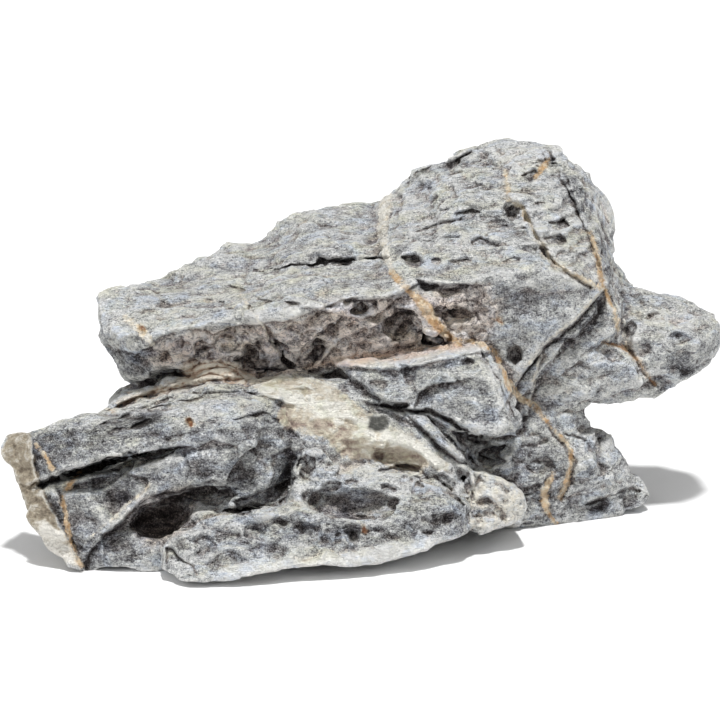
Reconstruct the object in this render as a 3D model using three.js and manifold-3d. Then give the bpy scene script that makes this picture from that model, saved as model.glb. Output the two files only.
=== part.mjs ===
// A seiryu stone, the blue-grey limestone used to dress planted tanks and trays: one solid piece
// of folded beds, broken into slabs and blocks, dissolved into hollows, and lying on its base.
//
// Units are millimetres, +Z is up, and the origin is at the middle of the base's level.
//
// The stone is drawn in an inclined front view, looking down at it by VIEW_TILT from EYE_DISTANCE.
// A point of that drawing is [across, up, deep]: where it shows from the front, and how far back
// it lies along the line of sight. The function place() turns it into the part's own frame.
import * as THREE from "three";
import { ConvexGeometry } from "three/addons/geometries/ConvexGeometry.js";
import { ImprovedNoise } from "three/addons/math/ImprovedNoise.js";
import { mergeVertices } from "three/addons/utils/BufferGeometryUtils.js";
import Module from "manifold-3d";

const LENGTH = 286; // the stone from its tan end to the tip of its arm
const DRAWN_LENGTH = 286; // the same length in the drawing's own numbers
const SCALE = LENGTH / DRAWN_LENGTH;
const VIEW_TILT = THREE.MathUtils.degToRad(15);
const EYE_DISTANCE = 1200; // from the eye to the drawing plane
const EYE_LEVEL = 87; // the drawing height that the eye looks at
const DRAWING_PLANE = 50; // the depth at which the drawing is true to scale
const ORIGIN = { x: 3.4, y: 83.3 }; // the middle of the drawn stone's base

const LONGEST_EDGE = 14; // facets are broken up until no edge is longer
const SHORTEST_EDGE = 2.2; // and edges shorter than this are closed up
const WELD = 1e-3; // vertices closer than this are one
const HAIR = 1e-3; // angles closer than this, in radians, are one

// Waves that bend the flat facets: how far apart they come, and how far they push. The noise is
// read at a place of its own for each axis, so that the three pushes differ.
const WAVES = [
  { length: 34, push: 2.3 },
  { length: 15, push: 1.3 },
];
const NOISE_PLACES = {
  x: new THREE.Vector3(0, 0, 7.3),
  y: new THREE.Vector3(31.7, 0, 0),
  z: new THREE.Vector3(0, 57.1, 0),
};

// The ball that cuts a hollow: its segments around and from pole to pole.
const LARGE_HOLLOW = 7; // a hollow with a half size over this gets the finer ball
const FINE_BALL = [11, 7];
const COARSE_BALL = [8, 5];

// The ground that takes the stone's underside off flat.
const GROUND = { width: 400, depth: 400, height: 40, y: 70 };

const STONE_GREY = 0x8a8d90;
const STONE_ROUGHNESS = 0.85;

// Every mass is the convex hull of its drawn corners.
const MASSES = {
  upperLeftEnd: [
    [-104, 108, 60], [-103, 112, 70], [-96, 117.5, 82], [-88, 121, 92], [-78, 122, 97],
    [-69, 124, 99], [-103, 100, 54], [-94, 97, 44], [-84, 95, 39], [-74, 98, 36], [-62, 101, 34],
    [-46, 104, 33], [-28, 106, 36], [-103, 96, 56], [-97, 87, 58], [-94, 80, 64], [-85, 80, 52],
    [-74, 84, 46], [-52, 84, 50], [-28, 84, 54], [-98, 100, 105], [-88, 88, 112], [-40, 90, 120],
    [-40, 126, 108],
  ],
  upperLump: [
    [-68, 126, 100], [-62, 130.5, 105], [-56, 134.5, 109], [-49, 134.5, 111], [-43, 132.5, 112],
    [-86, 113, 76], [-76, 105, 52], [-62, 103, 40], [-40, 105, 36], [-34, 116, 70],
    [-36, 112, 118], [-72, 105, 120], [-60, 100, 60],
  ],
  upperRight: [
    [-44, 133.5, 112], [-39, 135.5, 113], [-34, 138, 114], [-24, 143, 116], [-16, 146.5, 117],
    [-8, 147.8, 117], [10, 149.5, 117], [22, 152, 117], [-56, 102, 35], [-44, 103.5, 32],
    [-30, 107, 31], [-18, 110, 32], [-4, 111, 34], [10, 112.5, 37], [24, 115, 41], [-52, 84, 52],
    [-20, 84, 54], [24, 88, 54], [-44, 90, 122], [24, 90, 126], [24, 140, 126],
  ],
  peak: [
    [13, 152, 113], [18, 159, 113], [23, 163, 112], [30, 166, 111], [38, 169.2, 109],
    [47, 171.6, 107], [56, 173.4, 105], [66, 175.3, 101], [76, 175, 96], [80, 173, 93],
    [82, 166, 89], [86, 154, 81], [90, 143, 73], [94, 130, 64], [97.5, 116, 54], [6, 112, 38],
    [20, 114, 40], [40, 117.5, 41], [56, 120, 42], [72, 123, 44], [36, 94, 50], [50, 86, 52],
    [62, 73, 55], [68, 80, 54], [80, 94, 53], [92, 106, 53], [86, 164.5, 106], [91, 156, 110],
    [97.5, 149, 112], [101.5, 144, 112], [101, 135, 108], [102, 127, 100], [100, 116, 86],
    [6, 149, 115], [16, 110, 130], [60, 110, 142], [95, 110, 132], [60, 168, 124],
    [80, 166, 118], [30, 160, 122],
  ],
  shoulder: [
    [103, 126.5, 98], [107.5, 120, 97], [110.5, 115, 94], [106, 104, 72], [98, 113, 60],
    [112, 100, 85], [100, 88, 68], [104, 120, 125], [112, 100, 125], [90, 90, 125],
  ],
  underPeak: [
    [98, 117, 60], [101, 113, 62], [104, 103, 64], [101, 97, 62], [96, 95, 61], [90, 93, 60],
    [80, 91, 60], [72, 86, 60], [66, 76, 62], [100, 115, 90], [100, 95, 90], [70, 85, 90],
  ],
  rightBody: [
    [76, 91, 64], [66, 76, 61], [64, 70, 61], [84, 95, 64], [96, 96, 65], [104, 92, 67],
    [109, 84, 69], [112, 77, 73], [112, 72, 77], [104, 74.5, 76], [96, 72.5, 75], [92, 69, 75],
    [70, 66, 64], [108, 95, 120], [108, 80, 115], [92, 72, 118], [60, 66, 120], [100, 110, 120],
  ],
  arm: [
    [106, 113, 84], [110, 115.5, 88], [118, 112.5, 92], [128, 109.6, 94], [136, 109, 94],
    [141.5, 106, 92], [144, 98, 90], [141.5, 90, 88], [136.5, 82.5, 84], [130, 78, 82],
    [124, 76, 80], [118, 71, 80], [112, 71, 78], [110, 96, 69], [124, 97, 71], [134, 93, 76],
    [139, 98, 82], [108, 112, 126], [128, 107, 124], [137, 100, 118], [130, 86, 112],
    [115, 78, 112], [100, 84, 120],
  ],
  core: [
    [30, 86, 52], [60, 76, 57], [91, 70, 74], [90.5, 58, 76], [88, 40, 74], [76, 36, 66],
    [64, 42, 58], [48, 46, 53], [40, 36, 54], [56, 22, 66], [70, 22, 69], [84, 24, 74],
    [40, 70, 50], [86, 62, 112], [60, 34, 120], [20, 60, 100],
  ],
  foot: [
    [88, 58, 74], [92, 57.5, 76], [97, 56, 82], [101, 50.5, 86], [105, 43, 89], [112, 37.5, 91],
    [115.8, 32, 91], [113, 28, 88], [106, 24.5, 85], [96, 23.2, 82], [82, 20.8, 77],
    [68, 19.6, 73], [60, 19.2, 71], [54, 21, 69], [62, 44, 62], [78, 52, 64], [92, 46, 70],
    [111, 34, 112], [98, 50, 118], [60, 30, 115], [60, 58, 112],
  ],
  blockRight: [
    [20, 84, 34], [36, 86.5, 31], [46, 88, 30], [49, 91.8, 40], [36, 92.5, 43], [18, 90, 46],
    [53, 81, 30], [58, 69, 31], [59, 61, 33], [54, 57.5, 34], [46, 58.5, 33], [38, 62, 33],
    [30, 66, 33], [20, 69.5, 34], [56.5, 84, 43], [61.5, 72, 45], [62, 61, 46], [20, 88, 72],
    [58, 84, 72], [60, 60, 72], [24, 66, 72],
  ],
  blockLeft: [
    [-3, 82.5, 38], [6, 83.8, 35], [16, 85.5, 33.5], [21, 81, 32], [21, 75, 31.5], [18, 71, 32],
    [9, 71.5, 33], [3, 74.5, 34], [-4, 79, 37], [-10, 86.5, 48], [6, 87.5, 48], [24, 90, 48],
    [-4, 84, 72], [24, 88, 72], [24, 68, 72], [4, 72, 72],
  ],
  calciteSlope: [
    [-43, 78, 44], [-36, 81.5, 45], [-24, 81.5, 44], [-8, 79.5, 42], [-2, 75, 40], [8, 70, 39],
    [16, 66.5, 38], [28, 60, 36], [34, 54, 34], [37, 47, 32], [34, 43, 31], [22, 42, 30],
    [10, 44, 30], [0, 48, 29], [-10, 55, 27], [-18, 60, 25], [-28, 65, 24], [-31, 71, 27],
    [-40, 78, 80], [30, 58, 80], [30, 30, 70], [-30, 40, 70],
  ],
  saddle: [
    [-30, 68, 26], [-20, 62, 25], [-10, 56, 27], [0, 50, 29], [-2, 46, 30], [-10, 45, 27],
    [-18, 47, 24], [-26, 50, 22], [-31, 58, 23], [-30, 68, 60], [0, 50, 60], [-26, 44, 60],
  ],
  diagonalRibs: [
    [8, 69, 37], [18, 67, 34], [26, 63, 32], [34, 56, 31], [40, 48, 30], [46, 42, 32],
    [42, 41, 33], [34, 48, 36], [22, 58, 38], [10, 66, 40], [40, 56, 40], [30, 64, 42],
    [20, 60, 60], [46, 44, 60],
  ],
  slabAboveSlit: [
    [-134, 59.5, 28], [-132, 58, 23], [-130, 50, 19], [-127, 41, 17], [-119, 43.5, 13],
    [-106, 47, 10.5], [-92, 50.5, 10.5], [-78, 53, 12], [-68, 54, 14], [-118, 58, 19],
    [-100, 58.5, 15], [-84, 60, 14], [-72, 63, 15], [-66, 66, 17], [-120, 61, 32],
    [-110, 62.5, 36], [-102, 65, 42], [-88, 69, 42], [-70, 71, 40], [-92, 68, 60],
    [-120, 48, 60], [-70, 56, 60],
  ],
  lowerLeft: [
    [-127, 37, 21], [-124, 30, 20], [-120, 20, 19], [-112, 6, 17], [-110, 4, 16], [-96, 4.5, 17],
    [-80, 4.5, 17.5], [-66, 5, 20], [-110, 34, 17], [-94, 40, 15], [-80, 46, 12.5],
    [-68, 55, 12], [-56, 60, 12], [-44, 63, 14], [-34, 65, 17], [-29, 67, 21], [-26, 56, 24],
    [-26, 42, 26], [-30, 32, 26], [-50, 24, 24], [-50, 5, 24], [-120, 30, 80], [-104, 60, 80],
    [-40, 60, 80], [-98, 30, 110], [-40, 20, 80],
  ],
  lowerLeftTop: [
    [-78, 64, 16], [-66, 68, 18], [-54, 70, 19], [-42, 71, 21], [-31, 71, 25], [-72, 54, 13],
    [-56, 58, 13], [-34, 62, 17], [-84, 69, 36], [-60, 74, 40], [-34, 76, 42], [-80, 76, 70],
    [-34, 80, 70], [-34, 50, 60], [-80, 50, 60],
  ],
  tanEnd: [
    [-143.5, 49, 30], [-141.5, 56.5, 31], [-137, 59.5, 29], [-132, 58.5, 25], [-135.5, 35, 27],
    [-130.5, 23, 23], [-126.5, 12, 20], [-120, 7, 18], [-110, 4, 16], [-118, 20, 16.5],
    [-125, 36, 17.5], [-130, 52, 19], [-136, 42, 50], [-134, 54, 52], [-120, 20, 50],
  ],
  frontSlabLeft: [
    [-78, 2, 5], [-77, 11, 7], [-72, 16, 6.5], [-66, 20, 7], [-58, 22.5, 8], [-50, 24.5, 9],
    [-40, 26, 11], [-31, 29.5, 13], [-27, 30, 14], [-22, 28, 14], [-12, 24, 12], [-60, 9, 1],
    [-40, 10, 2], [-20, 12, 5], [-68, -1, -1], [-73, 0, 1], [-46, 0, -1], [-24, 2.5, 3],
    [-4, 5.5, 7], [-76, 8, 30], [-30, 27, 34], [-4, 20, 34], [-60, 12, 36],
  ],
  frontSlabRight: [
    [-12, 26, 13], [-10, 44, 28], [-6, 46.3, 31], [4, 46.5, 32], [10, 44, 30], [17, 42.5, 28],
    [14, 36, 21], [24, 39.5, 26], [32, 36.5, 25], [40, 30, 23], [43.5, 27, 24], [42.5, 18, 26],
    [32, 14, 20], [24, 11, 16], [10, 7.5, 12], [-4, 5.5, 8], [-20, 3, 5], [-24, 20, 9],
    [-4, 22, 9], [20, 24, 15], [-10, 42, 60], [30, 38, 60], [42, 20, 60],
  ],
  crustLobes: [
    [43, 38, 33], [46, 43, 32], [52, 41.5, 32], [57, 38, 34], [64, 34, 38], [67.5, 29, 41],
    [66, 24, 40], [58, 20, 38], [48, 18.5, 34], [43, 18, 31], [60, 34, 60], [64, 24, 60],
    [44, 40, 60], [44, 18, 60],
  ],
  crustRibs: [
    [24, 44, 31], [30, 42, 28], [38, 34, 26], [42, 28, 25], [43.5, 20, 26], [46, 22, 28],
    [44, 34, 28], [40, 42, 30], [34, 46, 32], [26, 46, 34], [42, 38, 50], [26, 40, 50],
    [44, 20, 50],
  ],
  bridge: [
    [-28, 47, 21], [-26, 42, 18], [-28, 34, 17], [-20, 50, 21], [-14, 49, 22], [-8, 44, 23],
    [-11, 38, 19], [-13, 30, 18], [-22, 28, 16], [-30, 30, 19], [-28, 48, 60], [-6, 46, 60],
    [-30, 28, 60], [-12, 28, 60],
  ],
  foldedBedTop: [
    [-80, 76, 52], [-74, 82, 51], [-66, 85.5, 48], [-58, 87, 46], [-50, 84.5, 45],
    [-42, 80.5, 45], [-46, 76.5, 43], [-60, 78, 42.5], [-76, 74.5, 46], [-80, 77, 100],
    [-40, 82, 100], [-58, 86, 100],
  ],
  foldedBedMiddle: [
    [-102, 67.5, 53], [-98, 72, 55], [-93, 77, 60], [-88, 76.5, 56], [-76, 76.5, 46],
    [-60, 77, 40], [-44, 78.5, 40], [-34, 79, 43], [-30, 76.5, 41], [-44, 74.5, 38],
    [-60, 73.5, 38], [-78, 72, 42], [-92, 68.5, 48], [-98, 70, 110], [-34, 78, 100],
  ],
  foldedBedLow: [
    [-103.5, 64, 46], [-96, 67, 45], [-84, 70, 41], [-70, 72.5, 35], [-56, 74, 33],
    [-40, 74.5, 34], [-32, 72.5, 33], [-36, 70.5, 30], [-56, 70.5, 29], [-74, 68.5, 33],
    [-90, 65.5, 39], [-100, 66, 110], [-34, 72, 100],
  ],
  upperUnderside: [
    [-96, 84, 62], [-92, 79, 64], [-76, 84, 53], [-50, 85, 50], [-20, 86, 50], [10, 90, 51],
    [36, 94, 52], [50, 88, 54], [40, 82, 56], [0, 80, 58], [-40, 76, 58], [-80, 74, 62],
    [-90, 78, 115], [40, 90, 120], [40, 70, 110], [-80, 70, 110],
  ],
  backLedge: [
    [-82, 52, 116], [-74, 66, 124], [-48, 77, 137], [-12, 82, 143], [24, 80, 144], [52, 71, 138],
    [66, 58, 128], [44, 52, 140], [4, 50, 149], [-44, 47, 143], [-70, 44, 130], [50, 60, 90],
    [-60, 60, 90], [0, 84, 100], [0, 44, 100],
  ],
  backToe: [
    [-66, 28, 118], [-40, 40, 136], [-12, 46, 146], [10, 42, 148], [34, 38, 140], [46, 30, 124],
    [20, 34, 146], [-14, 30, 142], [-60, 40, 100], [40, 44, 100], [0, 10, 100],
  ],
  backShoulder: [
    [4, 128, 128], [20, 146, 127], [44, 158, 126], [66, 156, 126], [84, 140, 126],
    [88, 122, 132], [72, 104, 142], [40, 98, 146], [14, 104, 142], [2, 114, 134], [50, 130, 100],
    [60, 96, 110], [20, 96, 110],
  ],
  backBed: [
    [-94, 102, 104], [-84, 110, 112], [-62, 116, 120], [-30, 118, 127], [-8, 112, 132],
    [2, 104, 134], [-18, 98, 136], [-50, 96, 131], [-78, 94, 119], [-40, 110, 90],
    [0, 108, 100], [-80, 100, 90],
  ],
  heart: [
    [-90, 76, 80], [-90, 70, 118], [-98, 28, 112], [-60, 34, 132], [0, 34, 136], [60, 34, 132],
    [84, 32, 114], [86, 60, 114], [92, 100, 128], [40, 110, 138], [-30, 100, 132],
    [-88, 95, 118], [-60, 10, 40], [40, 22, 60], [-100, 10, 40], [84, 60, 82], [30, 100, 60],
    [-60, 90, 62],
  ],
};

// Hollows are dissolved into the surface that shows from the front. Each is an ellipsoid: the
// drawn place [across, up], the half sizes [across, up, deep], how far its middle sinks below the
// surface, and its turn in the drawing in degrees. Those marked behind are on the far side.
const HOLLOWS = {
  cave: { at: [-78, 23.5], half: [15, 9.5, 17], sink: 3, turn: 24 },
  caveEnd: { at: [-62, 32], half: [14, 6.2, 15], sink: 3, turn: 12 },
  trough: { at: [-46, 27.5], half: [15, 2.6, 9], sink: 2, turn: 12 },
  slit: { at: [-100, 46], half: [29, 3.2, 17], sink: 4, turn: 13.6 },
  slitLedge: { at: [-107, 39.5], half: [19, 4, 5.5], sink: 0, turn: 14 },
  dish: { at: [-98, 29.5], half: [10, 8, 3], sink: 0, turn: 10 },
  lowDish: { at: [-93, 15], half: [11, 8, 4], sink: 0, turn: 10 },
  paleFace: { at: [-42, 43], half: [15, 13, 4], sink: -0.5, turn: 35 },
  brownCorner: { at: [-30.5, 41], half: [3, 8, 4], sink: 1, turn: -25 },
  bowl: { at: [-3, 29.4], half: [18.5, 7.6, 11], sink: 2, turn: 2 },
  bridgePit: { at: [-21.6, 44.4], half: [3.4, 5, 3], sink: 0, turn: -8 },
  calciteCup: { at: [16, 47.5], half: [12, 5.6, 6.5], sink: 0, turn: -8 },
  calciteMouth: { at: [19, 43.8], half: [9, 1.9, 7], sink: 3, turn: -4 },
  blockGap: { at: [22, 67], half: [15, 1.5, 9], sink: 2, turn: -14 },
  blockGapEnd: { at: [43, 57.5], half: [10, 1.8, 9], sink: 2, turn: -36 },
  blockNick: { at: [21, 78], half: [2.4, 4.6, 3], sink: 0, turn: 18 },
  coreRecess: { at: [52, 48.5], half: [7, 4, 6], sink: 1, turn: -18 },
  ribGap: { at: [37, 55.5], half: [13, 1.5, 5], sink: 1, turn: -42 },
  crustGap: { at: [34, 39.5], half: [9, 1.8, 6], sink: 1, turn: -36 },
  crustSlot: { at: [43.2, 35], half: [2.4, 6.5, 6], sink: 1, turn: 14 },
  scallopA: { at: [-76, 91.5], half: [6, 3, 3], sink: 0, turn: 8 },
  scallopB: { at: [-62, 90], half: [6, 4.6, 5], sink: 0, turn: 10 },
  scallopC: { at: [-54, 97], half: [6, 3.6, 4], sink: 0, turn: 5 },
  scallopD: { at: [-44, 89.5], half: [6.5, 6, 7], sink: 0.5, turn: 20 },
  scallopE: { at: [-32, 93.5], half: [10, 2.8, 8], sink: 1, turn: -48 },
  scallopF: { at: [-18, 90.5], half: [4.8, 6, 7], sink: 0.5, turn: 0 },
  scallopG: { at: [-12, 99], half: [4.6, 5.6, 4], sink: 0, turn: 20 },
  scallopH: { at: [0, 107.8], half: [6.4, 3.8, 6], sink: 1, turn: 0 },
  scallopJ: { at: [16, 101], half: [7.5, 8, 8], sink: 1, turn: -20 },
  scallopK: { at: [38, 104], half: [9, 4, 5], sink: 0.5, turn: -12 },
  scallopL: { at: [32, 95.5], half: [6.5, 3, 4], sink: 0.5, turn: 0 },
  scallopM: { at: [25.2, 115.2], half: [3.8, 3.2, 4], sink: 0, turn: 0 },
  scallopN: { at: [62, 90], half: [4, 3.4, 4], sink: 1, turn: 0 },
  underEnd: { at: [-78, 81.6], half: [9, 3, 9], sink: 1, turn: 2 },
  underMiddle: { at: [-38, 84], half: [9, 2, 7], sink: 1, turn: -12 },
  topCrack: { at: [-16, 125.4], half: [25, 1.7, 6], sink: 0, turn: 3 },
  topPitA: { at: [22, 126], half: [4.4, 3.4, 4], sink: 0, turn: 0 },
  topPitB: { at: [43, 146], half: [7, 2.3, 4], sink: 0, turn: 6 },
  topPitC: { at: [51, 133], half: [8.5, 2.4, 4], sink: 0, turn: -6 },
  topPitD: { at: [60.5, 146.5], half: [5.4, 3.8, 5], sink: 0, turn: 0 },
  peakCrack: { at: [30, 140], half: [11, 1.5, 4], sink: 0, turn: 15 },
  crestCrack: { at: [32, 165], half: [13, 1.6, 5], sink: 0, turn: 20 },
  slabPitB: { at: [-62, 11], half: [5, 2.4, 4], sink: 0, turn: 12 },
  slabPitE: { at: [-43, 18.5], half: [5, 5, 4], sink: 0, turn: 0 },
  slabPitF: { at: [-32, 22.5], half: [5, 4.2, 4], sink: 0, turn: 0 },
  slabPitG: { at: [-26, 20.5], half: [4, 4.4, 4], sink: 0, turn: 0 },
  slabPitH: { at: [-38, 14], half: [7, 2, 3], sink: 0, turn: 14 },
  slabPitJ: { at: [-16, 15.5], half: [4, 4, 3], sink: 0, turn: 30 },
  slabPitK: { at: [-2, 16], half: [4.6, 4, 3], sink: 0, turn: 0 },
  backScoopA: { at: [-50, 84], half: [18, 7, 8], sink: -2, turn: 8, behind: true },
  backScoopB: { at: [30, 90], half: [20, 6, 7], sink: -1, turn: -6, behind: true },
  backScoopC: { at: [-10, 66], half: [14, 9, 6], sink: -3, turn: 20, behind: true },
  backScoopD: { at: [44, 132], half: [14, 12, 6], sink: -3, turn: 30, behind: true },
  backScoopE: { at: [-54, 60], half: [8, 7, 6], sink: -1, turn: 0, behind: true },
  backScoopF: { at: [24, 62], half: [9, 6, 6], sink: -1, turn: -20, behind: true },
  backScoopG: { at: [64, 80], half: [9, 12, 6], sink: -1, turn: 10, behind: true },
  slabPitM: { at: [35, 24], half: [8, 4, 3], sink: 0, turn: 25 },
};

const noise = new ImprovedNoise();
const wasm = await Module();
wasm.setup();

function place([across, up, deep]) {
  const spread = 1 + (deep - DRAWING_PLANE) / EYE_DISTANCE;
  const x = across * spread;
  const rise = EYE_LEVEL + (up - EYE_LEVEL) * spread;
  const y = rise * Math.sin(VIEW_TILT) + deep * Math.cos(VIEW_TILT);
  const z = rise * Math.cos(VIEW_TILT) - deep * Math.sin(VIEW_TILT);
  return new THREE.Vector3(x, y, z);
}

function solidFrom(geometry) {
  const bare = new THREE.BufferGeometry();
  bare.setAttribute("position", geometry.getAttribute("position"));
  if (geometry.index) {
    bare.setIndex(geometry.index);
  }
  const merged = mergeVertices(bare, WELD);
  return new wasm.Manifold(
    new wasm.Mesh({
      numProp: 3,
      vertProperties: new Float32Array(merged.attributes.position.array),
      triVerts: new Uint32Array(merged.index.array),
    }),
  );
}

function geometryFrom(solid) {
  const mesh = solid.getMesh();
  const geometry = new THREE.BufferGeometry();
  geometry.setAttribute("position", new THREE.BufferAttribute(mesh.vertProperties, 3));
  geometry.setIndex(new THREE.BufferAttribute(mesh.triVerts, 1));
  return geometry;
}

function joinMasses() {
  const hullOf = (corners) => solidFrom(new ConvexGeometry(corners.map(place)));
  return Object.values(MASSES).map(hullOf).reduce((joined, hull) => joined.add(hull));
}

// Where the line of sight through a place of the drawing meets the near or the far surface.
function surfaceAt(surface, [across, up], behind) {
  const NEAR = -200;
  const FAR = 400;
  const start = place([across, up, behind ? FAR : NEAR]);
  const sight = place([across, up, behind ? NEAR : FAR]).sub(start).normalize();
  const [first] = new THREE.Raycaster(start, sight).intersectObject(surface);
  return { point: first.point, sight };
}

function cutHollows(solid) {
  const surface = new THREE.Mesh(geometryFrom(solid), new THREE.MeshBasicMaterial());
  return Object.values(HOLLOWS).reduce((left, { at, half, sink, turn, behind }) => {
    const segments = Math.max(...half) > LARGE_HOLLOW ? FINE_BALL : COARSE_BALL;
    const ball = new THREE.SphereGeometry(1, ...segments);
    const [halfAcross, halfUp, halfDeep] = half;
    ball.scale(halfAcross, halfDeep, halfUp);
    ball.rotateY(-THREE.MathUtils.degToRad(turn));
    ball.rotateX(-VIEW_TILT);
    const { point, sight } = surfaceAt(surface, at, behind);
    point.addScaledVector(sight, sink);
    ball.translate(point.x, point.y, point.z);
    return left.subtract(solidFrom(ball));
  }, solid);
}

// The two ends of an edge as one number, the same from either side.
const MOST_POINTS = 2 ** 20;
const edgeKey = (a, b) => Math.min(a, b) * MOST_POINTS + Math.max(a, b);

// Halves every edge that is too long, in all the faces that share it.
function splitLongEdges(points, faces) {
  const middles = new Map();
  const middleOf = (a, b) => {
    if (points[a].distanceTo(points[b]) <= LONGEST_EDGE) {
      return -1;
    }
    const key = edgeKey(a, b);
    if (!middles.has(key)) {
      middles.set(key, points.length);
      points.push(points[a].clone().lerp(points[b], 0.5));
    }
    return middles.get(key);
  };
  return faces.flatMap((face) => {
    let [a, b, c] = face;
    let [ab, bc, ca] = [middleOf(a, b), middleOf(b, c), middleOf(c, a)];
    const cuts = [ab, bc, ca].filter((middle) => middle >= 0).length;
    if (cuts === 0) {
      return [face];
    }
    if (cuts === 3) {
      return [[a, ab, ca], [ab, b, bc], [ca, bc, c], [ab, bc, ca]];
    }
    // Turned so that with one cut it is on ab, and with two cuts ca is the edge that stays whole.
    while (cuts === 1 ? ab < 0 : ca >= 0) {
      [a, b, c, ab, bc, ca] = [b, c, a, bc, ca, ab];
    }
    return cuts === 1 ? [[a, ab, c], [ab, b, c]] : [[ab, b, bc], [a, ab, bc], [a, bc, c]];
  });
}

// Closes every edge that is too short, unless that would pinch the surface or fold it over.
function closeShortEdges(points, faces) {
  const LEAST_AREA = 0.05; // a face smaller than this has no direction to keep
  const MOST_TURN = 0.5; // the cosine of how far a face may turn
  const kept = [...faces];
  const around = points.map(() => new Set());
  kept.forEach((face, owner) => face.forEach((corner) => around[corner].add(owner)));
  const neighbours = (a) => new Set([...around[a]].flatMap((owner) => kept[owner]));
  const triangle = (face) => new THREE.Triangle(...face.map((corner) => points[corner]));
  const folds = (face, a, b, middle) => {
    const moved = (corner) => (corner === a || corner === b ? middle : points[corner]);
    const before = triangle(face);
    const after = new THREE.Triangle(...face.map(moved));
    const [was, is] = [before, after].map((shape) => shape.getNormal(new THREE.Vector3()));
    return before.getArea() > LEAST_AREA && was.dot(is) < MOST_TURN;
  };
  for (let owner = 0; owner < kept.length; owner++) {
    for (let i = 0; i < 3 && kept[owner]; i++) {
      const [a, b] = [kept[owner][i], kept[owner][(i + 1) % 3]];
      if (points[a].distanceTo(points[b]) >= SHORTEST_EDGE) {
        continue;
      }
      const besideB = neighbours(b);
      const besideBoth = [...neighbours(a)].filter((corner) => besideB.has(corner));
      const shared = besideBoth.filter((corner) => corner !== a && corner !== b);
      const middle = points[a].clone().lerp(points[b], 0.5);
      const gone = [...around[a]].filter((other) => around[b].has(other));
      const moved = [...around[a], ...around[b]].filter((other) => !gone.includes(other));
      if (shared.length !== 2 || moved.some((other) => folds(kept[other], a, b, middle))) {
        continue;
      }
      points[a].copy(middle);
      gone.forEach((other) => {
        kept[other].forEach((corner) => around[corner].delete(other));
        kept[other] = null;
      });
      around[b].forEach((other) => {
        kept[other] = kept[other].map((corner) => (corner === b ? a : corner));
        around[a].add(other);
      });
      around[b].clear();
    }
  }
  return kept.filter((face) => face);
}

// Turns the diagonal of a flat pair of faces wherever that makes the two less narrow.
function turnDiagonals(points, faces) {
  const FLAT = 0.995; // the cosine between two faces that counts as flat
  const owners = new Map();
  faces.forEach((face, owner) => {
    for (let i = 0; i < 3; i++) {
      const key = edgeKey(face[i], face[(i + 1) % 3]);
      owners.set(key, [...(owners.get(key) ?? []), owner]);
    }
  });
  const normalOf = (face) => {
    const corners = face.map((corner) => points[corner]);
    return new THREE.Triangle(...corners).getNormal(new THREE.Vector3());
  };
  const side = (from, to) => points[to].clone().sub(points[from]);
  const angleAt = (tip, a, b) => side(tip, a).angleTo(side(tip, b));
  const turned = new Set();
  for (const [key, [left, right]] of owners) {
    if (turned.has(left) || turned.has(right)) {
      continue;
    }
    const ends = [Math.floor(key / MOST_POINTS), key % MOST_POINTS];
    const start = faces[left].findIndex((corner) => !ends.includes(corner));
    const [tip, from, to] = [0, 1, 2].map((step) => faces[left][(start + step) % 3]);
    const other = faces[right].find((corner) => !ends.includes(corner));
    const acrossAngles = angleAt(tip, from, to) + angleAt(other, from, to);
    if (owners.has(edgeKey(tip, other)) || acrossAngles <= Math.PI + HAIR) {
      continue;
    }
    const normal = normalOf(faces[left]);
    const pair = [[tip, from, other], [tip, other, to]];
    if ([faces[right], ...pair].some((face) => normal.dot(normalOf(face)) < FLAT)) {
      continue;
    }
    [faces[left], faces[right]] = pair;
    owners.set(edgeKey(tip, other), [left, right]);
    turned.add(left).add(right);
  }
  return turned.size;
}

function refine(geometry) {
  const ROUNDS = 6;
  const MOST_TURNS = 8; // the passes of turned diagonals in one round
  const position = geometry.getAttribute("position");
  const pointAt = (_, i) => new THREE.Vector3().fromBufferAttribute(position, i);
  const points = Array.from({ length: position.count }, pointAt);
  let faces = [];
  for (let i = 0; i < geometry.index.count; i += 3) {
    faces.push([0, 1, 2].map((corner) => geometry.index.getX(i + corner)));
  }
  for (let round = 0; round < ROUNDS; round++) {
    faces = closeShortEdges(points, faces);
    let passes = 0;
    while (passes < MOST_TURNS && turnDiagonals(points, faces) > 0) {
      passes++;
    }
    faces = splitLongEdges(points, faces);
  }
  const fine = new THREE.BufferGeometry().setFromPoints(points);
  fine.setIndex(faces.flat());
  return fine;
}

function roughen(geometry) {
  const position = geometry.getAttribute("position");
  const point = new THREE.Vector3();
  const shift = new THREE.Vector3();
  for (let i = 0; i < position.count; i++) {
    point.fromBufferAttribute(position, i);
    shift.set(0, 0, 0);
    for (const { length, push } of WAVES) {
      for (const [axis, start] of Object.entries(NOISE_PLACES)) {
        const { x, y, z } = point.clone().divideScalar(length).add(start);
        shift[axis] += push * noise.noise(x, y, z);
      }
    }
    point.add(shift);
    position.setXYZ(i, point.x, point.y, point.z);
  }
  return geometry;
}

function flattenBase(solid) {
  const ground = new THREE.BoxGeometry(GROUND.width, GROUND.depth, GROUND.height);
  ground.translate(0, GROUND.y, -GROUND.height / 2);
  return solid.subtract(solidFrom(ground));
}

const rough = solidFrom(roughen(refine(geometryFrom(cutHollows(joinMasses())))));
const stoneGeometry = geometryFrom(flattenBase(rough));
stoneGeometry.translate(-ORIGIN.x, -ORIGIN.y, 0);
stoneGeometry.scale(SCALE, SCALE, SCALE);
stoneGeometry.computeVertexNormals();

const limestone = new THREE.MeshStandardMaterial({
  color: STONE_GREY,
  roughness: STONE_ROUGHNESS,
  metalness: 0,
});
const stone = new THREE.Mesh(stoneGeometry, limestone);
stone.name = "stone";

const seiryuStone = new THREE.Group();
seiryuStone.add(stone);

export default seiryuStone;
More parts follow.
